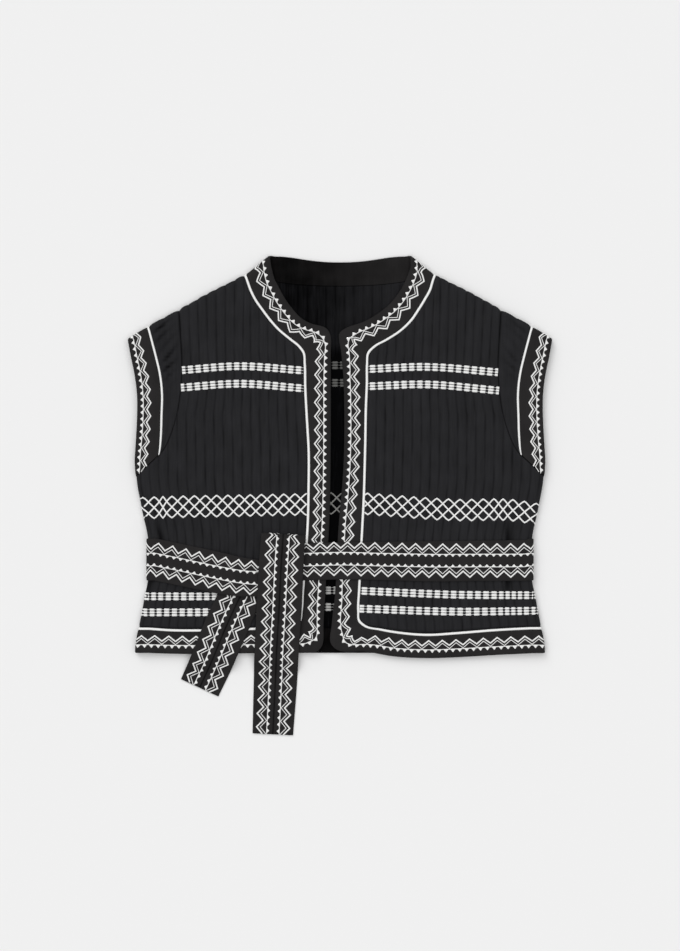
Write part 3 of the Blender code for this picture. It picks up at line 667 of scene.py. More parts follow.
def made_piece(name, outer, inner, flat, look, kept=None, painted_shade=None):
    """A shell through two grids of points, or a single face where inner is None.

    flat is its UV map. The last argument is how much shade is painted into each face's colour at each point,
    for seams, stitched lines, creases, wrinkles and the inside.
    """
    mesh = lattice_mesh(*outer.shape[:2], kept, inner is not None)
    flat_places = np.empty(len(mesh.vertices) * 3)
    mesh.vertices.foreach_get("co", flat_places)
    column, row, level = np.rint(flat_places.reshape(-1, 3)).astype(int).T
    points = outer[row, column]
    if inner is not None:
        points = np.where((level < 0)[:, None], inner[row, column], points)
    mesh.vertices.foreach_set("co", (points * MM).ravel())
    corners = np.empty(len(mesh.loops), np.int32)
    mesh.loops.foreach_get("vertex_index", corners)
    mesh.uv_layers.new(name="flat").data.foreach_set("uv", (flat[row, column][corners] * MM).ravel())
    if painted_shade is not None:
        outer_painted_shade, inner_painted_shade = (np.broadcast_to(face, outer.shape[:2])[row, column] for face in painted_shade)
        shades = np.where(level < 0, inner_painted_shade, outer_painted_shade).astype(float)
        mesh.attributes.new("painted_shade", "FLOAT", "POINT").data.foreach_set("value", shades)
    mesh.update()
    bm = bmesh.new()
    bm.from_mesh(mesh)
    if inner is not None and bm.calc_volume(signed=True) < 0:
        bmesh.ops.reverse_faces(bm, faces=bm.faces)
        bm.to_mesh(mesh)
    bm.free()
    mesh.shade_smooth()
    mesh.materials.append(look)
    mesh.name = name
    piece = bpy.data.objects.new(name, mesh)
    bpy.context.scene.collection.objects.link(piece)
    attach(piece, "root")
    return piece


def cloth(name, outer, inner, flat, look, kept=None, painted_shade=None):
    """A cloth piece in place of its solid."""
    piece = made_piece(name + "_cloth", outer, inner, flat, look, kept, painted_shade)
    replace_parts(piece, name)
    return piece


class Face:
    """A strip's face as a grid of points, read by the way along it and across it."""

    LEAN_REACH = 5  # rows on either side over which the rows' lean from square is levelled
    MOST_LEAN = 0.7
    END_ROOM = 0.01  # how far past an end a place still counts as on the strip

    def __init__(self, outer, inner, zero):
        """zero is the column that the way across is measured from. It grows towards the first column."""
        steps = np.linalg.norm(np.diff(outer, axis=1), axis=2)
        across = np.concatenate([np.zeros((len(outer), 1)), np.cumsum(steps, axis=1)], axis=1)
        self.points = outer[:, ::-1]
        self.across = (across[:, [zero]] - across)[:, ::-1]
        along_way, across_way = np.gradient(self.points, axis=0), np.gradient(self.points, axis=1)
        normals = unit(np.cross(along_way, across_way))
        outwards = np.sum(normals * (outer - inner)[:, ::-1], axis=2)
        self.normals = normals * np.sign(outwards)[..., None]

    def run_at(self, offset):
        """Takes the way along from the line this far across, and how far the rows lean from square to it.

        offset may change from row to row.
        """
        rows = np.arange(len(self.points), dtype=float)
        self.base = np.broadcast_to(np.asarray(offset, float), len(rows))
        line = self.read(rows, self.base)[0]
        self.along = way_along(line)
        self.length = self.along[-1]
        ways = unit(np.gradient(line, axis=0))
        lean = np.sum(ways * unit(self.read(rows, self.base + 1)[0] - line), axis=1)
        ends = np.pad(lean, self.LEAN_REACH, mode="edge")
        rows_levelled = 2 * self.LEAN_REACH + 1
        lean = np.convolve(ends, np.ones(rows_levelled) / rows_levelled, mode="valid")
        lean = np.clip(lean, -self.MOST_LEAN, self.MOST_LEAN)
        upright = np.sqrt(1 - lean**2)
        self.shift, self.stretch = -lean / upright, 1 / upright

    def read(self, row, offset):
        """Points and normals at a fractional row and a way across."""
        low = np.clip(row.astype(int), 0, len(self.points) - 2)
        share = (row - low)[:, None]
        points, normals = self.on_row(low, offset)
        next_points, next_normals = self.on_row(low + 1, offset)
        normals = unit(normals * (1 - share) + next_normals * share)
        return points * (1 - share) + next_points * share, normals

    def on_row(self, row, offset):
        """Points and normals on whole rows, at a way across each."""
        ways = self.across[row]
        column = np.clip((ways <= offset[:, None]).sum(axis=1) - 1, 0, ways.shape[1] - 2)
        index = np.arange(len(row))
        start, end = ways[index, column], ways[index, column + 1]
        t = np.clip((offset - start) / np.maximum(end - start, 1e-6), 0, 1)[:, None]
        grids = (self.points, self.normals)
        return [grid[row, column] * (1 - t) + grid[row, column + 1] * t for grid in grids]

    def within(self, way, offset):
        """The stretch of a run that lies between the strip's two ends, as a slice."""
        way = way + offset * np.interp(way, self.along, self.shift)
        out = np.flatnonzero((way < -self.END_ROOM) | (way > self.length + self.END_ROOM))
        middle = len(way) // 2
        start, end = out[out < middle], out[out >= middle]
        return slice(start[-1] + 1 if len(start) else 0, end[0] if len(end) else len(way))

    def at(self, way, offset):
        """Points and normals at a way along the line of run_at and this far across, square to that line."""
        way = way + offset * np.interp(way, self.along, self.shift)
        row = np.interp(way, self.along, np.arange(len(self.along)))
        base = np.interp(way, self.along, self.base)
        return self.read(row, base + offset * np.interp(way, self.along, self.stretch))


# Thread

SECTION = np.array(((-1, -0.4), (-0.78, 0.55), (0, 1), (0.78, 0.55), (1, -0.4)))
END_SINK = 0.5  # how far a run's ends turn down, by its rise
CAP_REACH = 0.35
CAP_WIDTH = 0.9
MITRE_LIMIT = 0.62  # a run's corner is widened up to 1 over this


class Stitches:
    """Runs of raised thread that become one piece."""

    def __init__(self):
        self.runs = []

    def add(self, points, normals, half, rise):
        """A run of thread through points. half and rise may change along it."""
        count = len(points)
        half, rise = np.broadcast_to(half, count), np.broadcast_to(rise, count)
        self.runs.append((points, normals, half, rise))

    def made(self, name, look):
        grids, flats, kept = [], [], []
        for points, normals, half, rise in self.runs:
            steps = unit(np.diff(points, axis=0))
            before = np.concatenate([steps[:1], steps])
            after = np.concatenate([steps, steps[-1:]])
            side = unit(np.cross(before + after, normals))
            turned = np.sum(side * unit(np.cross(after, normals)), axis=1)
            width = (half / np.clip(turned, MITRE_LIMIT, 1))[:, None, None]
            grid = points[:, None] + side[:, None] * width * SECTION[None, :, :1]
            heights = rise[:, None] * SECTION[None, :, 1]
            grid = grid + normals[:, None] * heights[..., None]
            ends = []
            for end, way in ((0, -steps[0]), (-1, steps[-1])):
                flat_end = points[end] + side[end] * SECTION[:, :1] * half[end] * CAP_WIDTH
                ends.append(flat_end + (way * CAP_REACH - normals[end] * END_SINK) * rise[end])
            grid = np.concatenate([ends[:1], grid, ends[1:]])
            way = way_along(grid[:, 2])[:, None]
            flats.append(np.stack(np.broadcast_arrays(way, SECTION[None, :, 0]), axis=2))
            grids.append(grid)
            kept.append(np.append(np.ones(len(grid) - 1, bool), False))
        outer, flat = np.concatenate(grids), np.concatenate(flats)
        outer[..., 2] = np.maximum(outer[..., 2], TABLE_CLEAR)
        kept = np.repeat(np.concatenate(kept)[:-1, None], len(SECTION) - 1, axis=1)
        piece = made_piece(name, outer, None, flat, look, kept)
        _, normals, _, _ = self.runs[0]
        if piece.data.polygons[len(SECTION)].normal.dot(Vector(normals[0])) < 0:
            piece.data.flip_normals()


def finer(values, per_step):
    stops = np.arange(per_step * (len(values) - 1) + 1) / per_step
    return np.interp(stops, np.arange(len(values)), values)


def braid(stitches, face, base, kind, flip=1):
    """One braid along a face. base is the place of its base line, and flip -1 turns it over."""
    pitch, tip, thin_low, thin_high, thick_low, thick_high = BRAIDS[kind]
    face.run_at(base)
    repeats = round(face.length / pitch)
    pitch = face.length / repeats
    corners = np.arange(2 * repeats + 1)
    for low, high, half, rise in (
        (thin_low, thin_high, THIN_HALF, THREAD_RISE),
        (thick_low, thick_high, THICK_HALF, THICK_RISE),
    ):
        way = finer(corners * pitch / 2, BRAID_STEPS)
        offset = flip * finer(np.where(corners % 2, high, low), BRAID_STEPS)
        kept = face.within(way, offset)
        stitches.add(*face.at(way[kept], offset[kept]), half, rise)
    way = np.arange(4 * repeats + 1) * pitch / 4
    stitches.add(*face.at(way, np.zeros(len(way))), BASE_HALF, THREAD_RISE)
    shares = np.array(PICOT_SHARES)
    half, rise = PICOT_BASE / 2 * (1 - PICOT_TAPER * shares), THICK_RISE * (1 - PICOT_DROP * shares)
    for middle in (np.arange(2 * repeats) + 0.5) * pitch / 2:
        stitches.add(*face.at(np.full(len(shares), middle), flip * tip * shares), half, rise)


# The quilted panels


def between(at, places, values):
    """Straight interpolation through four breaks that differ from point to point."""
    result = values[0]
    for low in range(3):
        span = places[low + 1] - places[low]
        share = (at - places[low]) / np.where(np.abs(span) < 1e-6, 1e-6, span)
        share = np.maximum(share, 0) if low else share
        share = np.minimum(share, 1) if low < 2 else share
        result = result + (values[low + 1] - values[low]) * share
    return result


class Panel:
    """Half of a body panel. A place on it is a count of half ribs out from its middle edge and a height."""

    def __init__(self, neck, hem, front, top_corner, bottom_corner, neck_point_x, crest_at):
        self.neck, self.hem, self.front = neck, hem, front
        self.top_corner, self.bottom_corner = top_corner, bottom_corner
        self.neck_point_x = neck_point_x
        self.crest_at = crest_at
        start = self.front_x(0)
        span = half_width(UNDERARM_Y) - FOLD_RADIUS - start
        self.ribs = round(float(span / (RIB_PITCH / 2)))
        self.corner = round(float((ARMHOLE_CORNER_X - start) / span * self.ribs))
        self.neck_column = round(float((neck_point_x - start) / span * self.ribs))
        self.corner_y = float(armhole_y(self.lower_x(self.corner, UNDERARM_Y) + ARMHOLE_INSET))

    def front_x(self, y):
        return self.front(np.clip(y, self.bottom_corner[1], self.top_corner[1]))

    def lower_x(self, column, y):
        """A column's x where it runs to the side fold. Past the ribs, a column is 1 per fold radius."""
        start = self.front_x(y)
        fold = half_width(np.minimum(y, UNDERARM_Y)) - FOLD_RADIUS
        ribs = start + (fold - start) * np.minimum(column, self.ribs) / self.ribs
        return ribs + FOLD_RADIUS * np.maximum(column - self.ribs, 0)

    def breaks(self, y):
        """Beside the armhole seam, where four columns lie evenly and where they do lie."""
        start = self.front_x(y)
        seam = armhole_x(y) - ARMHOLE_INSET
        step = (seam - start) / self.corner
        even = start + step * self.neck_column
        share = eased((y - self.corner_y) / (shoulder_y(self.neck_point_x) - self.corner_y))
        neck_x = even + (self.neck_point_x - even) * share
        beside = neck_x - step + (step - NECK_POINT_STEP) * share
        return (start, even - step, even, seam), (start, beside, neck_x, seam)

    def upper_x(self, column, y):
        """A column's x where it runs up beside the armhole seam."""
        even, real = self.breaks(y)
        at = even[0] + (even[3] - even[0]) * column / self.corner
        return between(at, even, real)

    def column_at(self, x, y):
        """The count of half ribs at a place, the other way round."""
        even, real = self.breaks(y)
        upper = (between(x, real, even) - even[0]) / (even[3] - even[0]) * self.corner
        start = self.front_x(y)
        fold = half_width(np.minimum(y, UNDERARM_Y)) - FOLD_RADIUS
        lower = (x - start) / (fold - start) * self.ribs
        return np.where(y > self.corner_y, upper, lower)

    def top_y(self, column):
        """Where a column ends, at the neck seam or at the shoulder fold."""
        y = np.full(np.shape(column), float(shoulder_y(TOP_START_X)))
        for _ in range(TOP_ROUNDS):
            x = self.upper_x(column, y)
            y = np.where(column <= self.neck_column, self.neck(x), shoulder_y(x))
        return y

    def edge_distance(self, x, y):
        """How far a place is from the nearest seam."""
        edge = np.minimum(x - self.front_x(y) if self.crest_at else SEAM_SINK, y - self.hem(x))
        edge = np.minimum(edge, np.where(x < self.neck_point_x, self.neck(x) - y, SEAM_SINK))
        return np.minimum(edge, np.where(y > self.corner_y, armhole_x(y) - x, armhole_y(x) - y))

    def rib(self, x, y):
        """How far the quilted cloth rises over its stitching at a place."""
        column = self.column_at(x, y)
        wave = np.abs(np.sin(math.pi / 2 * (column + 1 - self.crest_at))) ** RIB_PLUMPNESS
        number = np.floor((column + 1 - self.crest_at) / 2)
        uneven = sum(share * np.sin(y / length + shift * number) for share, length, shift in RIB_WAVES)
        seam = eased((self.edge_distance(x, y) + SEAM_START) / SEAM_SINK)
        fold = eased((half_width(np.minimum(y, UNDERARM_Y)) - x - FOLD_RADIUS) / RIB_FADE)
        return RIB_RISE * wave * (1 + uneven) * seam * np.where(y > UNDERARM_REACH_Y, 1, fold)

    def painted_shade(self, x, y):
        """Shade painted into the colour in the stitched lines and at the seams."""
        column = self.column_at(x, y) + 1 - self.crest_at
        number = np.round(column / 2)
        slow, fast = (np.sin(y / length + shift * number) for length, shift in GROOVE_WAVES)
        faint = 0.5 + 0.5 * slow * fast
        line = np.exp(-(((column - 2 * number) / GROOVE_HALF) ** 2))
        seam = SEAM_DARK * (1 - eased(self.edge_distance(x, y) / SEAM_SHADE))
        return np.maximum(GROOVE_SHADE * (1 - GROOVE_SHADE_SWING * faint) * line, seam)


def panel_grid(panel):
    """The flat places of half a panel, and which squares of the grid are cloth."""
    groove = panel.crest_at - 1
    columns = [groove + 2 * rib + step for rib in range(panel.ribs // 2 + 2) for step in RIB_STEPS]
    columns = sorted({0.0, float(panel.corner), float(panel.ribs), *columns})
    columns = [c for c in columns if 0 <= c <= panel.ribs]
    columns += [panel.ribs + step / FOLD_STEPS for step in range(1, FOLD_STEPS + 1)]
    columns = np.array(columns)
    corner = int(np.argmin(np.abs(columns - panel.corner)))
    hem_y = panel.hem(panel.lower_x(columns, panel.bottom_corner[1]))
    ys = [hem_y + (FIRST_Y - hem_y) * share for share in np.arange(HEM_ROWS) / HEM_ROWS]
    even_rows = np.linspace(FIRST_Y, LOW_Y, round((LOW_Y - FIRST_Y) / ROW_STEP) + 1)
    ys += [np.full(len(columns), y) for y in even_rows]
    at_underarm = panel.lower_x(columns, UNDERARM_Y) + ARMHOLE_INSET
    limit = np.where(columns > panel.corner, armhole_y(at_underarm) - ARMHOLE_INSET, panel.corner_y)
    steps = round((panel.corner_y - LOW_Y) / ROW_STEP)
    ys += [LOW_Y + (limit - LOW_Y) * share for share in np.arange(1, steps + 1) / steps]
    xs = [panel.lower_x(columns, y) for y in ys]
    armhole_row = len(ys) - 1
    top = panel.top_y(np.minimum(columns, panel.corner))
    fold = FOLD_RADIUS / math.cos(math.atan(SHOULDER_SLOPE))
    steps = round((panel.top_corner[1] - panel.corner_y) / ROW_STEP) + NECK_ROWS
    rise = top - fold - panel.corner_y
    upper = [panel.corner_y + rise * share for share in np.arange(1, steps + 1) / steps]
    upper += [top - fold * share for share in np.arange(FOLD_STEPS - 1, -1, -1) / FOLD_STEPS]
    ys += upper
    xs += [panel.upper_x(np.minimum(columns, panel.corner), y) for y in upper]
    kept = np.ones((len(ys) - 1, len(columns) - 1), bool)
    kept[armhole_row:, corner:] = False
    return np.array(xs), np.array(ys), kept


def band_rows(side):
    """The places across a front's band, from the shoulder fold to the side fold, as seam and edge places."""
    rows = along([row[:4] for row in BAND[side]], BAND_STEPS)
    shoulder = np.array([(side * x, shoulder_y(x)) for x in BAND_FOLD_X])
    flank = np.array([(side * half_width(y), y) for _, y in rows[-1].reshape(2, 2)])
    return np.concatenate([rolled(shoulder, rows[0]), rows, rolled(flank, rows[-1])[::-1]])


def rolled(fold, row):
    """Rows from a fold in to where it is full, between the fold's places and those of the nearest row."""
    ends = np.asarray(row).reshape(-1, 2)
    distance = nearest_fold(ends[:, 0], ends[:, 1])[0]
    shares = np.arange(FOLD_STEPS + 1) / FOLD_STEPS
    reach = FOLD_RADIUS * shares[:, None] / distance[None]
    return (fold[None] + (ends - fold)[None] * reach[..., None]).reshape(len(shares), -1)


def panel_seams(side):
    """A front panel's edge along the piping, by distance from the middle: neck y, hem y, and front x by y."""
    rows = along([row[:4] for row in BAND[side]], SEAM_STEPS)
    top, bottom = (SEAM_STEPS * at for at, row in enumerate(BAND[side]) if row[4] == "corner")
    way = unit(rows[:, 2:] - rows[:, :2])
    inset = np.full(len(rows), PIPING_HALF + SEAM_INSET)
    inset[:top] = PIPING_HALF + NECK_INSET
    points = rows[:, :2] - way * inset[:, None]
    points[:, 0] *= side
    fold = np.array([(x, shoulder_y(x)) for x in BAND_FOLD_X])
    neck_point = fold[0] - unit(fold[1] - fold[0]) * (PIPING_HALF + NECK_INSET)
    neck = polyline([neck_point, *points[: top + 1]])
    hem = polyline(points[bottom:])
    front = polyline(points[top : bottom + 1, ::-1])
    return neck, hem, front, points[top], points[bottom], neck_point[0]


def strip_points(rows, stations, front):
    """The two faces of a strip, and its flat places.

    A row is (start x, start y, end x, end y), and a station is (share, offset, outer depth, inner depth).
    """
    start, end = rows[:, None, :2], rows[:, None, 2:]
    way = unit(end - start)
    share, offset, outer, inner = np.array(stations, float).T
    places = start + (end - start) * share[None, :, None] + way * offset[None, :, None]
    x, y = places[..., 0], places[..., 1]
    front = np.broadcast_to(np.asarray(front), len(rows))[:, None]
    ground = np.where(front, 0.0, under_room(x, y))
    depth = np.where(front, outer[None], np.maximum(outer[None] + ground, ground * LEAST_ROOM))
    return laid(x, y, depth, front), laid(x, y, inner[None], front), places


def hem_rounding(rise, inner):
    """Stations of a free edge that is turned over a soft half round."""
    made = []
    for angle in np.radians(FREE_EDGE_TURNS):
        offset = -FREE_EDGE * (1 - math.sin(angle))
        drop = 1 - math.cos(angle)
        made.append((1, offset, -rise + (HEM_MIDDLE + rise) * drop, inner - (inner - HEM_MIDDLE) * drop))
    return made


def band_stations(rise, inner, seam):
    """Stations of a band from its piped seam to its free edge."""
    stations = [(0, seam + offset, rise * share, inner) for offset, share in BAND_TUCK]
    stations += [(share, 0, -rise, inner) for share in BAND_SHARES]
    return stations + hem_rounding(rise, inner)


def piping_stations(rise, sink, inner, half=PIPING_HALF):
    """Stations of a cord that is sewn in along the start of the rows."""
    made = []
    for angle in np.radians(np.arange(0, 181, PIPING_TURN)):
        lift = math.sin(angle) ** PIPING_ROUND
        made.append((0, (PIPING_GAP - half) * math.cos(angle), sink - (sink + rise) * lift, inner))
    return made


# Materials

QUILTED_COLOUR = (0.0148, 0.0148, 0.0166)
TWILL_COLOUR = (0.0172, 0.0160, 0.0162)
WAVE_SCALE = 2 * math.pi / 20  # at this scale, a wave texture's ridges are 1 apart
COTTON_GLOSS = 0.2
COTTON_RANGE = (0.15, 1.85)
THREAD_RANGE = (0.9, 1.04)
PIPING_COLOUR = (0.96, 0.96, 0.95)
THREAD_COLOUR = (0.93, 0.93, 0.92)

# The stitches' reverse on the inside of the back is painted in three depths of shade, as three shaded copies
# of one thread.
REVERSE_SHADED_COLOURS = {"upper": (0.1, 0.1, 0.095), "lattice": (0.2, 0.2, 0.19), "lower": (0.42, 0.42, 0.41)}


class Nodes:
    """A material's node tree, with short ways to add to it."""

    def __init__(self, name, colour, roughness, sheen):
        self.material = bpy.data.materials.new(name)
        self.material.use_nodes = True
        self.tree = self.material.node_tree
        self.shader = self.tree.nodes["Principled BSDF"]
        self.shader.inputs["Base Color"].default_value = (*colour, 1)
        self.shader.inputs["Roughness"].default_value = roughness
        self.shader.inputs["Sheen Weight"].default_value = sheen
        self.shader.inputs["Sheen Roughness"].default_value = 0.5
        self.flat = self.add("ShaderNodeUVMap", uv_map="flat").outputs["UV"]

    def add(self, kind, inputs=None, **settings):
        node = self.tree.nodes.new(kind)
        for name, value in settings.items():
            setattr(node, name, value)
        for name, value in (inputs or {}).items():
            if isinstance(value, bpy.types.NodeSocket):
                self.tree.links.new(value, node.inputs[name])
            else:
                node.inputs[name].default_value = value
        return node

    def stretched(self, scale):
        return self.add("ShaderNodeMapping", {"Vector": self.flat, "Scale": scale}).outputs["Vector"]

    def noise(self, scale, size, detail=2.0):
        """Noise whose grains are this many millimetres, stretched by scale."""
        inputs = {"Vector": self.stretched(scale), "Scale": 1 / (size * MM), "Detail": detail}
        return self.add("ShaderNodeTexNoise", inputs).outputs["Fac"]

    def wave(self, pitch, turn):
        """Ridges this many millimetres apart, turned by an angle in degrees."""
        inputs = {"Vector": self.flat, "Rotation": (0, 0, math.radians(turn))}
        vector = self.add("ShaderNodeMapping", inputs).outputs["Vector"]
        inputs = {"Vector": vector, "Scale": WAVE_SCALE / (pitch * MM)}
        return self.add("ShaderNodeTexWave", inputs, wave_profile="SIN").outputs["Fac"]

    def sum(self, *terms):
        """The weighted sum of (value, weight) pairs."""
        total = 0.0
        for value, weight in terms:
            inputs = {0: value, 1: weight, 2: total}
            total = self.add("ShaderNodeMath", inputs, operation="MULTIPLY_ADD").outputs[0]
        return total

    def colour_by(self, value, low, high):
        """Base colour between two colours as value goes from 0 to 1."""
        ramp = self.add("ShaderNodeValToRGB", {"Fac": value})
        for element, colour in zip(ramp.color_ramp.elements, (low, high)):
            element.color = (*colour, 1)
        self.tree.links.new(ramp.outputs["Color"], self.shader.inputs["Base Color"])

    def bump(self, height, distance):
        inputs = {"Height": height, "Distance": distance * MM, "Strength": 1.0}
        normal = self.add("ShaderNodeBump", inputs).outputs["Normal"]
        self.tree.links.new(normal, self.shader.inputs["Normal"])


def shades(colour, factors):
    return [tuple(value * factor for value in colour) for factor in factors]


def cotton_look(name, colour, weave_turn, slub):
    """Matt cotton. slub is how much it is streaked and crinkled along its length."""
    nodes = Nodes(name, colour, 0.9, 0.0)
    streaks = nodes.noise((1, 0.06, 1), 1.6)
    wide_streaks = nodes.noise((1, 0.1, 1), 7)
    blotches = nodes.noise((1, 1, 1), 28)
    fuzz = nodes.noise((1, 1, 1), 0.7, 4)
    weave = nodes.wave(0.55, weave_turn)
    crossing = nodes.wave(0.55, weave_turn + 90)
    # This attribute is painted shade: it darkens the colour and takes the gloss away.
    painted_shade = nodes.add("ShaderNodeAttribute", attribute_name="painted_shade").outputs["Fac"]
    crinkles = nodes.noise((1, 0.45, 1), 5, 3)
    tone = nodes.sum(
        (streaks, slub),
        (wide_streaks, slub),
        (blotches, 0.5),
        (fuzz, 0.5 - slub),
        (painted_shade, -0.5 - slub / 2),
    )
    tone = nodes.sum((tone, 1 / (1 + slub)))
    fading = {0: painted_shade, 1: -COTTON_GLOSS, 2: COTTON_GLOSS}
    gloss = nodes.add("ShaderNodeMath", fading, operation="MULTIPLY_ADD")
    nodes.tree.links.new(gloss.outputs[0], nodes.shader.inputs["Specular IOR Level"])
    nodes.colour_by(tone, *shades(colour, COTTON_RANGE))
    height = nodes.sum(
        (weave, 0.12),
        (crossing, 0.12),
        (fuzz, 0.2),
        (streaks, 0.4 * slub),
        (crinkles, 2.6 * slub),
        (blotches, 2.2),
    )
    nodes.bump(height, 0.35)
    return nodes.material


def thread_look(name, colour, pitch):
    nodes = Nodes(name, colour, 0.55, 0.1)
    nodes.shader.inputs["Specular IOR Level"].default_value = 0.3
    strands = nodes.wave(pitch, 24)
    fuzz = nodes.noise((1, 1, 1), 1.1, 3)
    nodes.colour_by(nodes.sum((strands, 0.5), (fuzz, 0.5)), *shades(colour, THREAD_RANGE))
    nodes.bump(nodes.sum((strands, 0.7), (fuzz, 0.3)), 0.15)
    return nodes.material


QUILTED = cotton_look("quilted_cotton", QUILTED_COLOUR, 0, 0.5)
TWILL = cotton_look("band_twill", TWILL_COLOUR, 45, 0.15)
BELT_LOOK = cotton_look("belt_twill", TWILL_COLOUR, 45, 0.15)
PIPING_LOOK = thread_look("white_piping", PIPING_COLOUR, 1.1)
THREAD_LOOK = thread_look("white_thread", THREAD_COLOUR, 0.7)
REVERSE_SHADED_LOOKS = {
    part: thread_look(part + "_reverse_thread_painted_shade", colour, 0.7) for part, colour in REVERSE_SHADED_COLOURS.items()
}


# Body


def make_front(side):
    panel = Panel(*panel_seams(side), crest_at=1)
    x, y, kept = panel_grid(panel)
    outer = laid(side * x, y, -panel.rib(x, y), True)
    inner = laid(side * x, y, QUILT, True)
    flat = np.stack([side * x, y], axis=-1)
    # Painted shade in the crease beside the belt, in the stitched lines and at the seams.
    shade = CREASE_SHADE * (crease(side * x, y) / CREASE_DEPTH) ** 2
    painted_shade = (np.maximum(panel.painted_shade(x, y), shade), 0.0)
    cloth("front_" + SIDE_NAMES[side], outer, inner, flat, QUILTED, kept, painted_shade)
    return panel


def pressed_depth(x, y, rib):
    """How deep the back's outside lies at a place, where its ribs are pressed flatter."""
    return under_room(x, y) + PRESSED_RIBS * (RIB_RISE - rib)


def make_back():
    seam = along(BACK_NECK, SEAM_STEPS)[:, :2] - (0, BACK_INSET)
    neck_x = BAND_FOLD_X[0] + BACK_NECK_OUT
    neck = polyline([*seam, (neck_x, float(shoulder_y(neck_x)))])
    hem_y = BACK_HEM_SEAM_Y + BACK_INSET

    def hem(x):
        return np.full(np.shape(x), hem_y)

    def front(y):
        return np.zeros(np.shape(y))

    panel = Panel(neck, hem, front, (0, seam[0][1]), (0, hem_y), neck_x, crest_at=0)
    half_x, half_y, half_kept = panel_grid(panel)
    x = np.concatenate([-half_x[:, :0:-1], half_x], axis=1)
    y = np.concatenate([half_y[:, :0:-1], half_y], axis=1)
    kept = np.concatenate([half_kept[:, ::-1], half_kept], axis=1)
    rib = panel.rib(np.abs(x), y)
    outer = laid(x, y, pressed_depth(x, y, rib), False)
    inner = laid(x, y, QUILT + rib, False)
    flat = np.stack([x, y], axis=-1)
    # Painted shade in the stitched lines and at the seams, and a painted shadow over the inside.
    painted_groove_shade = panel.painted_shade(np.abs(x), y)
    painted_shade = (painted_groove_shade, painted_inside_shadow(x, y) + INSIDE_GROOVE_SHADE * painted_groove_shade)
    cloth("back_panel", outer, inner, flat, QUILTED, kept, painted_shade)
    return panel


def painted_inside_shadow(x, y):
    """Shadow painted on the inside of the back, darker on the left. It lies in the shade of the neck's left
    edge and of the fronts.
    """
    start, end = INSIDE_SHADOW_TURN
    shade = INSIDE_PAINTED_SHADOW[0] + (INSIDE_PAINTED_SHADOW[1] - INSIDE_PAINTED_SHADOW[0]) * eased((x - start) / (end - start))
    return np.maximum(shade, eased((GAP_TOP - y) / GAP_TURN))


def make_piping(name, rows, stations, front):
    piping = made_piece(name, *strip_points(rows, stations, front), PIPING_LOOK)
    return piping


def make_band(side):
    name = SIDE_NAMES[side]
    rows = band_rows(side)
    outer, inner, flat = strip_points(rows, band_stations(BAND_RISE, QUILT, PIPING_HALF + PIPING_GAP), True)
    cloth("band_" + name, outer, inner, flat, TWILL)
    cord = piping_stations(PIPING_RISE, PIPING_SINK, QUILT)
    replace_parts(make_piping("piping_" + name + "_cord", rows, cord, True), "piping_" + name)
    return Face(outer, inner, outer.shape[1] - 1)


def back_neck_rows():
    half = along(BACK_NECK, SEAM_STEPS)
    fold = np.array([(x, shoulder_y(x)) for x in BAND_FOLD_X])
    right = np.concatenate([half, rolled(fold, half[-1])[::-1]])
    left = right[:0:-1] * (-1, 1, -1, 1)
    return np.concatenate([left, right])


def back_hem_rows():
    ys = np.array((BACK_HEM_SEAM_Y, BACK_HEM_Y))
    ends = half_width(ys)
    turned = np.arange(FOLD_STEPS) / FOLD_STEPS * FOLD_RADIUS
    inward = np.concatenate([turned, np.arange(FOLD_RADIUS, BACK_HEM_REACH, BACK_HEM_STEP)])
    right = np.array([(ends[0] - d, ys[0], ends[1] - d, ys[1]) for d in inward[::-1]])
    return np.concatenate([right[::-1] * (-1, 1, -1, 1), right])


def back_band_stations():
    """A band's stations for the back, whose doubled cloth rises on the inside."""
    made = []
    for share, offset, outer, inner in band_stations(0, QUILT, BACK_INSET):
        rise = BAND_RISE if inner == QUILT else BAND_RISE * FREE_EDGE_RISE
        made.append((share, offset, max(outer, 0), inner + rise))
    return made


def make_back_bands():
    stations = back_band_stations()
    seam_painted_shade = np.zeros(len(stations))
    seam_painted_shade[0] = 1
    cord = piping_stations(UNDER_ROOM, BACK_PIPING_SINK, BACK_PIPING_INNER)
    faces = []
    for name, rows in (("back_neck", back_neck_rows()), ("back_hem", back_hem_rows())):
        outer, inner, flat = strip_points(rows, stations, False)
        # A painted shadow over the inside, and a painted shade line along the seam.
        painted_shade = (0.0, np.maximum(painted_inside_shadow(flat[..., 0], flat[..., 1]), seam_painted_shade))
        cloth(name + "_band", outer, inner, flat, TWILL, None, painted_shade)
        make_piping(name + "_piping", rows, cord, False)
        faces.append(Face(outer, inner, outer.shape[1] - 1))
    return faces


def sleeve_rows(side):
    """The places of the armhole seam, the piping and the free edge, round a sleeve from front to back."""
    table = along(SLEEVE, SLEEVE_STEPS)
    x, y = table[:, 0], table[:, 1]
    low = y < ARMHOLE_STEEP_Y
    table[:, 1] = np.where(low, armhole_y(np.minimum(x, ARMHOLE_END_X)), y)
    table[:, 0] = np.where(low, x, armhole_x(y))
    table[:, :2] += ARMHOLE_INSET
    fold = np.array([(x, shoulder_y(x)) for x in SLEEVE_FOLD_X])
    turned = rolled(fold, table[-1])[::-1]
    shares = np.arange(1, CROWN_STEPS)[:, None] / CROWN_STEPS
    crown = table[-1] + (turned[0] - table[-1]) * shares
    front = np.concatenate([table, crown, turned])
    rows = np.concatenate([front, front[::-1]]) * np.tile((side, 1), 3)
    return rows, np.arange(len(rows)) < len(front)


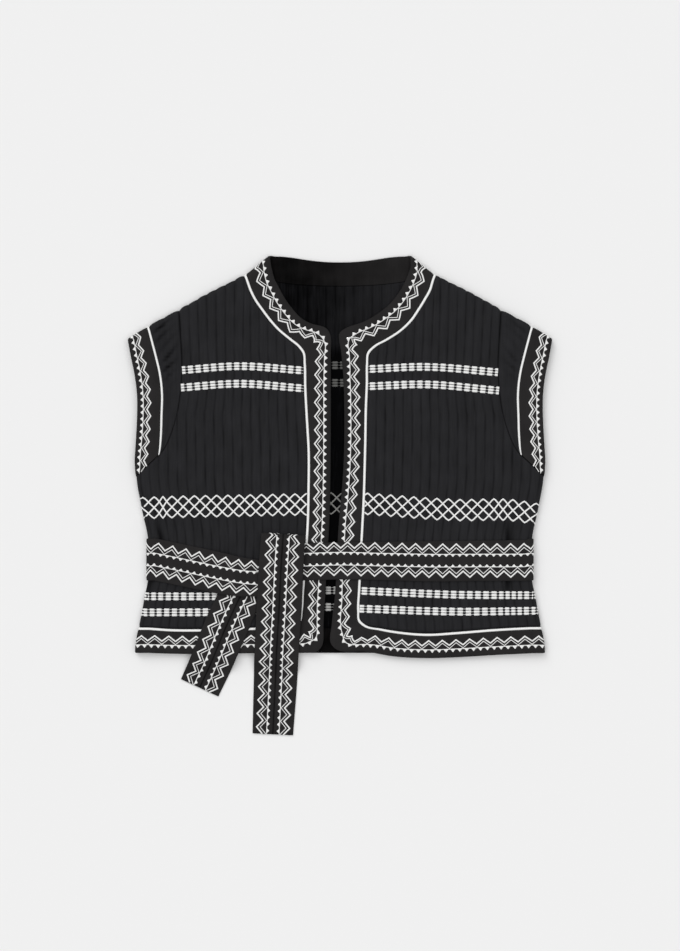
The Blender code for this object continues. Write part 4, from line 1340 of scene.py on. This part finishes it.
def puckers(x, y, shares):
    """How far up slanting wrinkles lift a sleeve's crown, from -1 to 1. They grow towards the shoulder."""
    sway, sway_length = PUCKER_SWAY
    fade, fade_across, fade_along = PUCKER_FADE
    waves = np.sin(2 * math.pi * (y + np.abs(x)) / PUCKER_PITCH + sway * np.sin(y / sway_length))
    waves = waves * (1 - fade + fade * np.sin(np.abs(x) / fade_across + y / fade_along))
    off_fold = eased(nearest_fold(x, y)[0] / (PUCKER_OFF_FOLD * FOLD_RADIUS))
    across = np.sin(math.pi * shares**PUCKER_LEAN)
    return waves * across * eased((y - PUCKER_LOW_Y) / PUCKER_REACH) * off_fold


def make_sleeve(side):
    name = SIDE_NAMES[side]
    rows, front = sleeve_rows(side)
    margin = SLEEVE_PIPING_HALF + PIPING_GAP
    shares = np.linspace(0, 1, CROWN_COLUMNS)
    ribs = RIB_RISE * np.abs(np.sin(math.pi * SLEEVE_RIBS * shares)) ** RIB_PLUMPNESS
    crown = [(share, -margin * share, -rib, QUILT) for share, rib in zip(shares, ribs)]
    outer, inner, flat = strip_points(rows[:, :4], crown, front)
    wrinkles = puckers(flat[..., 0], flat[..., 1], shares) * front[:, None]
    outer[..., 2] += PUCKER_RISE * wrinkles
    # Painted shade at the sleeve's and its band's two underarm ends, along its seam and on the wrinkles' low
    # sides.
    ends = np.zeros((len(rows), 1))
    ends[[0, -1]] = 1
    seam = np.where(shares == 0, SEAM_DARK, 0.0)
    painted_shade = np.maximum(PUCKER_SHADE[side] * np.maximum(-wrinkles, 0), np.maximum(ends, seam))
    cloth("sleeve_" + name, outer, inner, flat, QUILTED, None, (painted_shade, 0.0))
    cuff = rows[:, 2:]
    outer, inner, flat = strip_points(cuff, band_stations(BAND_RISE, QUILT, margin), front)
    cloth("sleeve_band_" + name, outer, inner, flat, TWILL, None, (ends, 0.0))
    cord = piping_stations(PIPING_RISE, PIPING_SINK, QUILT, SLEEVE_PIPING_HALF)
    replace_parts(make_piping("sleeve_piping_" + name + "_cord", cuff, cord, front), "sleeve_piping_" + name)
    return Face(outer, inner, outer.shape[1] - 1)


# Belt

BELT_SHARES = np.array([-share for share in HALF_SHARES[::-1]] + [0, *HALF_SHARES])
BELT_MIDDLE = len(BELT_SHARES) // 2
BELT_ROUND = polyline(EDGE_ROUND)(np.abs(BELT_SHARES))
PRESSED = np.exp(-((BELT_SHARES / PRESS_HALF) ** 2))


def belt_seat(x, y):
    """The height of the belt's lower face over the fronts."""
    inside = half_width(BELT_Y) - np.abs(x) - FOLD_RADIUS
    clear = BELT_GAP + (BELT_CLEAR - BELT_GAP) * eased(inside / CLEAR_REACH)
    return top_height(x, y) + crease(x, y) + clear


def belt_faces(centre, side, up, thickness=BELT):
    """The belt's two faces from its lower face's middle line, the way across and the way up from it."""
    across = side[:, None] * BELT_SHARES[None, :, None]
    low = centre[:, None] + across
    lift = np.ones((len(centre), 1)) * BELT_ROUND[None]
    thickness = np.broadcast_to(thickness, len(centre))[:, None]
    outer = low + up[:, None] * (thickness - lift)[..., None]
    inner = low + up[:, None] * lift[..., None] * UNDER_ROUND
    return outer, inner


def stretch_faces(side):
    x, middle, width, layer = along(STRETCH[side], STRETCH_STEPS).T
    low = belt_seat(x, middle) + layer * LAYER_STEP
    centre = np.stack([x, middle, low], axis=1)
    across = np.stack([0 * x, width / 2, 0 * x], axis=1)
    return belt_faces(centre, across, np.tile((0.0, 0.0, 1.0), (len(x), 1)))


def turn_faces(side):
    """The belt round a side fold, from the front to the back."""
    centre_x = side * (half_width(BELT_Y) - FOLD_RADIUS)
    centre_z = LAYER_STEP + FOLD_RADIUS
    angle = math.pi / 2 - math.pi * np.arange(TURN_STEPS + 1) / TURN_STEPS
    up = np.stack([side * np.cos(angle), 0 * angle, np.sin(angle)], axis=1)
    centre = np.array((centre_x, BELT_Y, centre_z)) + up * (FOLD_RADIUS + BELT_GAP)
    across = np.tile((0.0, BELT_WIDTH / 2, 0.0), (len(angle), 1))
    thickness = BELT - UNDER_ROOM * eased(-np.sin(angle))
    return belt_faces(centre, across, up, thickness)


def make_belt_round():
    end = half_width(BELT_Y) - FOLD_RADIUS
    x = np.linspace(-end, end, UNDER_COLUMNS)[1:-1]
    centre = np.stack([x, np.full(len(x), BELT_Y), np.full(len(x), float(BELT))], axis=1)
    across = np.tile((0.0, BELT_WIDTH / 2, 0.0), (len(x), 1))
    under = belt_faces(centre, across, np.tile((0.0, 0.0, -1.0), (len(x), 1)), BELT - UNDER_ROOM)
    left = [face[::-1] for face in stretch_faces(-1)]
    parts = (left, turn_faces(-1), under, [f[::-1] for f in turn_faces(1)], stretch_faces(1))
    outer = np.concatenate([part[0] for part in parts])
    inner = np.concatenate([part[1] for part in parts])
    return finish_belt("belt_round", outer, inner)


def finish_belt(name, outer, inner, painted_shade=0.0):
    way = way_along(outer[:, BELT_MIDDLE])[:, None]
    flat = np.stack(np.broadcast_arrays(way, BELT_SHARES[None] * BELT_WIDTH / 2), axis=-1)
    cloth(name, outer, inner, flat, BELT_LOOK, None, (painted_shade, 0.0))
    return Face(outer, inner, BELT_MIDDLE)


def tail_seat(x, y):
    """The height of a tail's lower face, over the fronts and then down past the hem to the table."""
    start, end = TAIL_DROP_Y
    over = belt_seat(x, np.clip(y, start, BELT_TOP))
    return over * (1 - eased((start - y) / (start - end)))


def tail_grid(table):
    rows = along(table, TAIL_STEPS)
    way = unit(np.gradient(rows[:, :2], axis=0))
    across = np.stack([-way[:, 1], way[:, 0]], axis=1)
    v = rows[:, 2:3] / 2 * BELT_SHARES[None]
    x = rows[:, :1] + across[:, :1] * v
    y = rows[:, 1:2] + across[:, 1:] * v
    low = tail_seat(x, y) + np.maximum(rows[:, 3:], 0)
    trough = TROUGH_DEPTH * (1 - eased((table[0][1] - rows[:, 1:2]) / TROUGH_REACH))
    sunk = trough * np.exp(-((v / TROUGH_HALF) ** 2)) + PRESS_DEPTH * PRESSED
    outer = np.stack([x, y, low + BELT - sunk - BELT_ROUND], axis=-1)
    inner = np.stack([x, y, low + BELT_ROUND * UNDER_ROUND], axis=-1)
    return outer, inner


def loop_grid(table):
    """The long tail's fold over the knot and its hidden leg, up to where the tail starts."""
    (x, y, width, height), (next_x, next_y, *_) = table[:2]
    way = unit(np.array((next_x - x, next_y - y), float))
    side = np.array((-way[1], way[0]))
    v = width / 2 * BELT_SHARES
    flat = np.array((x, y)) + side * v[:, None]
    axis_z = tail_seat(flat[:, 0], flat[:, 1]) + height - LOOP_RADIUS
    legs = [(HIDDEN_LEG * share, -math.pi / 2) for share in (1, 0.75, 0.5, 0.25)]
    legs += [(0, -math.pi / 2 + math.pi * step / TURN_STEPS) for step in range(TURN_STEPS)]
    faces = [[], []]
    radii = (LOOP_RADIUS + BELT - BELT_ROUND, LOOP_RADIUS + BELT_ROUND * UNDER_ROUND)
    for leg, angle in legs:
        for face, r in zip(faces, radii):
            ahead = leg - r * math.cos(angle)
            place = flat + way * ahead[:, None]
            face.append(np.concatenate([place, (axis_z + r * math.sin(angle))[:, None]], axis=1))
    return np.array(faces[0]), np.array(faces[1])


def make_tails():
    # Painted shade along each tail's pressed middle line.
    pressed_line_shade = PRESS_SHADE * PRESSED[None]
    short = finish_belt("belt_tail_short", *tail_grid(SHORT_TAIL), pressed_line_shade)
    outer, inner = (np.concatenate(pair) for pair in zip(loop_grid(LONG_TAIL), tail_grid(LONG_TAIL)))
    return short, finish_belt("belt_tail_long", outer, inner, pressed_line_shade)


# Embroidery across the panels


class Layer:
    """One face of a panel layer as a ground for stitches."""

    def __init__(self, panel, front, inner=False):
        self.panel, self.front, self.inner = panel, front, inner

    def at(self, x, y):
        rib = self.panel.rib(np.abs(x), y)
        if self.front:
            return laid(x, y, -rib, True), facing(x, y, True)
        if self.inner:
            return laid(x, y, QUILT + rib, False), -facing(x, y, False)
        return laid(x, y, pressed_depth(x, y, rib), False), facing(x, y, False)


def gathered(x, gathers):
    """The way along the cloth at a place across the fronts. The creases beside the belt hold more of it."""
    way = x
    for side, (place, width, amount) in gathers.items():
        way = way + side * amount * eased((side * x - place) / width)
    return way


def placed(ends, gathers):
    """Turns a way along the cloth back into a place across it, between two ends."""
    x = np.linspace(*ends, GATHER_PLACES)
    ways = gathered(x, gathers)
    return ways[0], ways[-1], lambda way: np.interp(way, ways, x)


def block_stripe(stitches, ground, line, ends, block_x, pitch, gathers):
    """Three bars of satin stitch that swell into a block each pitch. One block has its middle at block_x."""
    start, end, place = placed(ends, gathers)
    first = float(gathered(np.array(block_x), gathers))
    blocks = np.arange(math.floor((start - first) / pitch), math.ceil((end - first) / pitch) + 1)
    shares, fullness = np.array(BLOCK_PROFILE).T
    stops = (first + (blocks[:, None] + shares) * pitch).ravel()
    fullness = np.tile(fullness, len(blocks))
    ways = np.concatenate([[start], stops[(stops > start + END_ROOM) & (stops < end - END_ROOM)], [end]])
    full = np.interp(ways, stops, fullness)
    x = place(ways)
    y = line(x)
    slope = np.gradient(y, x)
    for bar in BLOCK_BARS:
        half = BRIDGE_HALF + (BAR_HALF - BRIDGE_HALF) * full
        rise = BRIDGE_RISE + (BAR_RISE - BRIDGE_RISE) * full
        stitches.add(*ground.at(x - slope * bar, y + bar), half, rise)


def lattice_band(stitches, ground, line, ends, apex_x, pitch, gathers):
    """Four zigzags, each a pitch behind the last, that cross into two rows of diamonds."""
    start, end, place = placed(ends, gathers)
    first = float(gathered(np.array(apex_x), gathers))
    start, end = (start - first) / pitch, (end - first) / pitch
    inside = np.arange(math.ceil(start * LATTICE_STEPS), math.floor(end * LATTICE_STEPS) + 1) / LATTICE_STEPS
    steps = np.concatenate([[start], inside, [end]])
    x = place(first + steps * pitch)
    for number in range(4):
        turn = np.cos(math.pi / 2 * (steps + number)) * LATTICE_CORNER
        height = np.arcsin(turn) / math.asin(LATTICE_CORNER)
        over = np.sign(np.sin(math.pi * (steps + number + 0.5)))
        rise = LATTICE_RISE * (1 - LATTICE_DIP + LATTICE_DIP * over)
        stitches.add(*ground.at(x, line(x) + LATTICE_HALF * height), LATTICE_THREAD, rise)


def across_front(panel, side, y, outer_end):
    """From a front's piping to this far out, in rising order."""
    ends = (float(panel.front_x(y)) + SEAM_INSET, float(outer_end))
    return ends if side > 0 else (-ends[1], -ends[0])


def embroider_front(side, panel):
    stitches = Stitches()
    ground = Layer(panel, True)
    for part in STRIPES:
        xs, lines = STRIPES[part][side]
        for *ys, block_x, pitch in lines:
            y = float(np.mean(ys))
            far = armhole_x(y) - SEAM_INSET if part == "upper" else half_width(y)
            ends = across_front(panel, side, y, far)
            block_stripe(stitches, ground, curve(zip(xs, ys)), ends, block_x, pitch, GATHERS[part])
    xs, ys, apex_x, pitch = LATTICE[side]
    y = float(np.mean(ys))
    ends = across_front(panel, side, y, half_width(y))
    lattice_band(stitches, ground, curve(zip(xs, ys)), ends, apex_x, pitch, GATHERS["lattice"])
    stitches.made("front_stitches_" + SIDE_NAMES[side], THREAD_LOOK)


def back_stripes(stitches, ground, part):
    for level, block_x, end in BACK_STRIPES[part]:
        line = polyline([(-end, level), (end, level)])
        block_stripe(stitches, ground, line, (-end, end), block_x, BACK_PITCH, {})


def back_lattice(stitches, ground):
    xs, ys, apex_x, pitch = BACK_LATTICE
    ends = (-BACK_LATTICE_REACH, BACK_LATTICE_REACH)
    lattice_band(stitches, ground, curve(zip(xs, ys)), ends, apex_x, pitch, {})


def embroider_back(panel):
    """The stitches on the outside, and their reverse as it shows on the inside, in three depths of painted
    shade.
    """
    outside, inside = Layer(panel, False), Layer(panel, False, True)
    stitches = Stitches()
    for part in BACK_STRIPES:
        back_stripes(stitches, outside, part)
    back_lattice(stitches, outside)
    stitches.made("back_stitches", THREAD_LOOK)
    for part, look in REVERSE_SHADED_LOOKS.items():
        stitches = Stitches()
        if part in BACK_STRIPES:
            back_stripes(stitches, inside, part)
        else:
            back_lattice(stitches, inside)
        stitches.made("back_reverse_" + part, look)


def belt_slip(face):
    """How far up the belt the braids lie, over the fronts."""
    middle = face.points[:, BELT_MIDDLE]
    return np.where(middle[:, 2] > FOLD_HEIGHT, polyline(BELT_SLIP)(middle[:, 0]), 0.0)


def embroider(front_panels, back_panel, bands, back_bands, sleeves, belts):
    for side, panel in front_panels.items():
        embroider_front(side, panel)
    embroider_back(back_panel)
    stitches = Stitches()
    for side, face in zip(SIDE_NAMES, bands):
        rows = (np.arange(len(face.points)) - FOLD_STEPS - 1) / BAND_STEPS
        braid(stitches, face, polyline(BAND_BASE[side])(rows), "band")
    stitches.made("band_braid", THREAD_LOOK)
    for name, faces, base, kind in (
        ("back_braid", back_bands, BACK_BASE, "band"),
        ("sleeve_braid", sleeves, SLEEVE_BASE, "sleeve"),
    ):
        stitches = Stitches()
        for face in faces:
            braid(stitches, face, base, kind)
        stitches.made(name, THREAD_LOOK)
    stitches = Stitches()
    for face, slip in zip(belts, (belt_slip(belts[0]), 0.0, 0.0)):
        for flip in (-1, 1):
            braid(stitches, face, flip * BELT_BASE - slip, "belt", flip)
    stitches.made("belt_braid", THREAD_LOOK)


# Floor, light and camera

PHOTO_MIDDLE = (0.0, 24.0)
PIXEL = 1.2  # of the photograph, on the table
PHOTO_ROWS = 951
PHOTO_HEIGHT = PHOTO_ROWS * PIXEL
LENS = 100.0
SENSOR = 36.0
FAR_CLIP = 20.0  # metres, as in the next two
FLOOR_HALF = 6.0
FLOOR_DROP = 0.0002
FLOOR_COLOUR = (0.885, 0.885, 0.885)
WORLD_STRENGTH = 0.4

# Name, turn in degrees, strength and softness in degrees
SUNS = (
    ("key", (-42, -34, 0), 0.8, 34),
    ("above", (0, 0, 0), 1.35, 90),
)


def make_stage():
    bm = bmesh.new()
    bmesh.ops.create_grid(bm, x_segments=1, y_segments=1, size=FLOOR_HALF)
    mesh = bpy.data.meshes.new("floor")
    bm.to_mesh(mesh)
    bm.free()
    floor = bpy.data.objects.new("floor", mesh)
    floor.location.z = -FLOOR_DROP
    bpy.context.scene.collection.objects.link(floor)
    look = bpy.data.materials.new("pale_floor")
    look.use_nodes = True
    shader = look.node_tree.nodes["Principled BSDF"]
    shader.inputs["Base Color"].default_value = (*FLOOR_COLOUR, 1)
    shader.inputs["Roughness"].default_value = 1.0
    shader.inputs["Specular IOR Level"].default_value = 0.0
    mesh.materials.append(look)


def make_light():
    world = bpy.data.worlds.new("studio")
    world.use_nodes = True
    sky = world.node_tree.nodes["Background"]
    sky.inputs["Color"].default_value = (1, 1, 1, 1)
    sky.inputs["Strength"].default_value = WORLD_STRENGTH
    bpy.context.scene.world = world
    for name, turn, strength, softness in SUNS:
        light = bpy.data.lights.new(name, "SUN")
        light.energy = strength
        light.angle = math.radians(softness)
        lamp = bpy.data.objects.new(name, light)
        lamp.rotation_euler = [math.radians(angle) for angle in turn]
        bpy.context.scene.collection.objects.link(lamp)


def make_camera():
    data = bpy.data.cameras.new("camera")
    data.lens = LENS
    data.sensor_width = SENSOR
    data.clip_end = FAR_CLIP
    camera = bpy.data.objects.new("camera", data)
    distance = LENS / SENSOR * PHOTO_HEIGHT * MM
    camera.location = (PHOTO_MIDDLE[0] * MM, PHOTO_MIDDLE[1] * MM, distance)
    bpy.context.scene.collection.objects.link(camera)
    bpy.context.scene.camera = camera
    bpy.context.scene.view_settings.view_transform = "Standard"


make_stage()
make_light()
make_camera()
fronts = {side: make_front(side) for side in SIDE_NAMES}
back = make_back()
band_faces = [make_band(side) for side in SIDE_NAMES]
back_band_faces = make_back_bands()
sleeve_faces = [make_sleeve(side) for side in SIDE_NAMES]
belt_faces_made = [make_belt_round(), *make_tails()]
embroider(fronts, back, band_faces, back_band_faces, sleeve_faces, belt_faces_made)
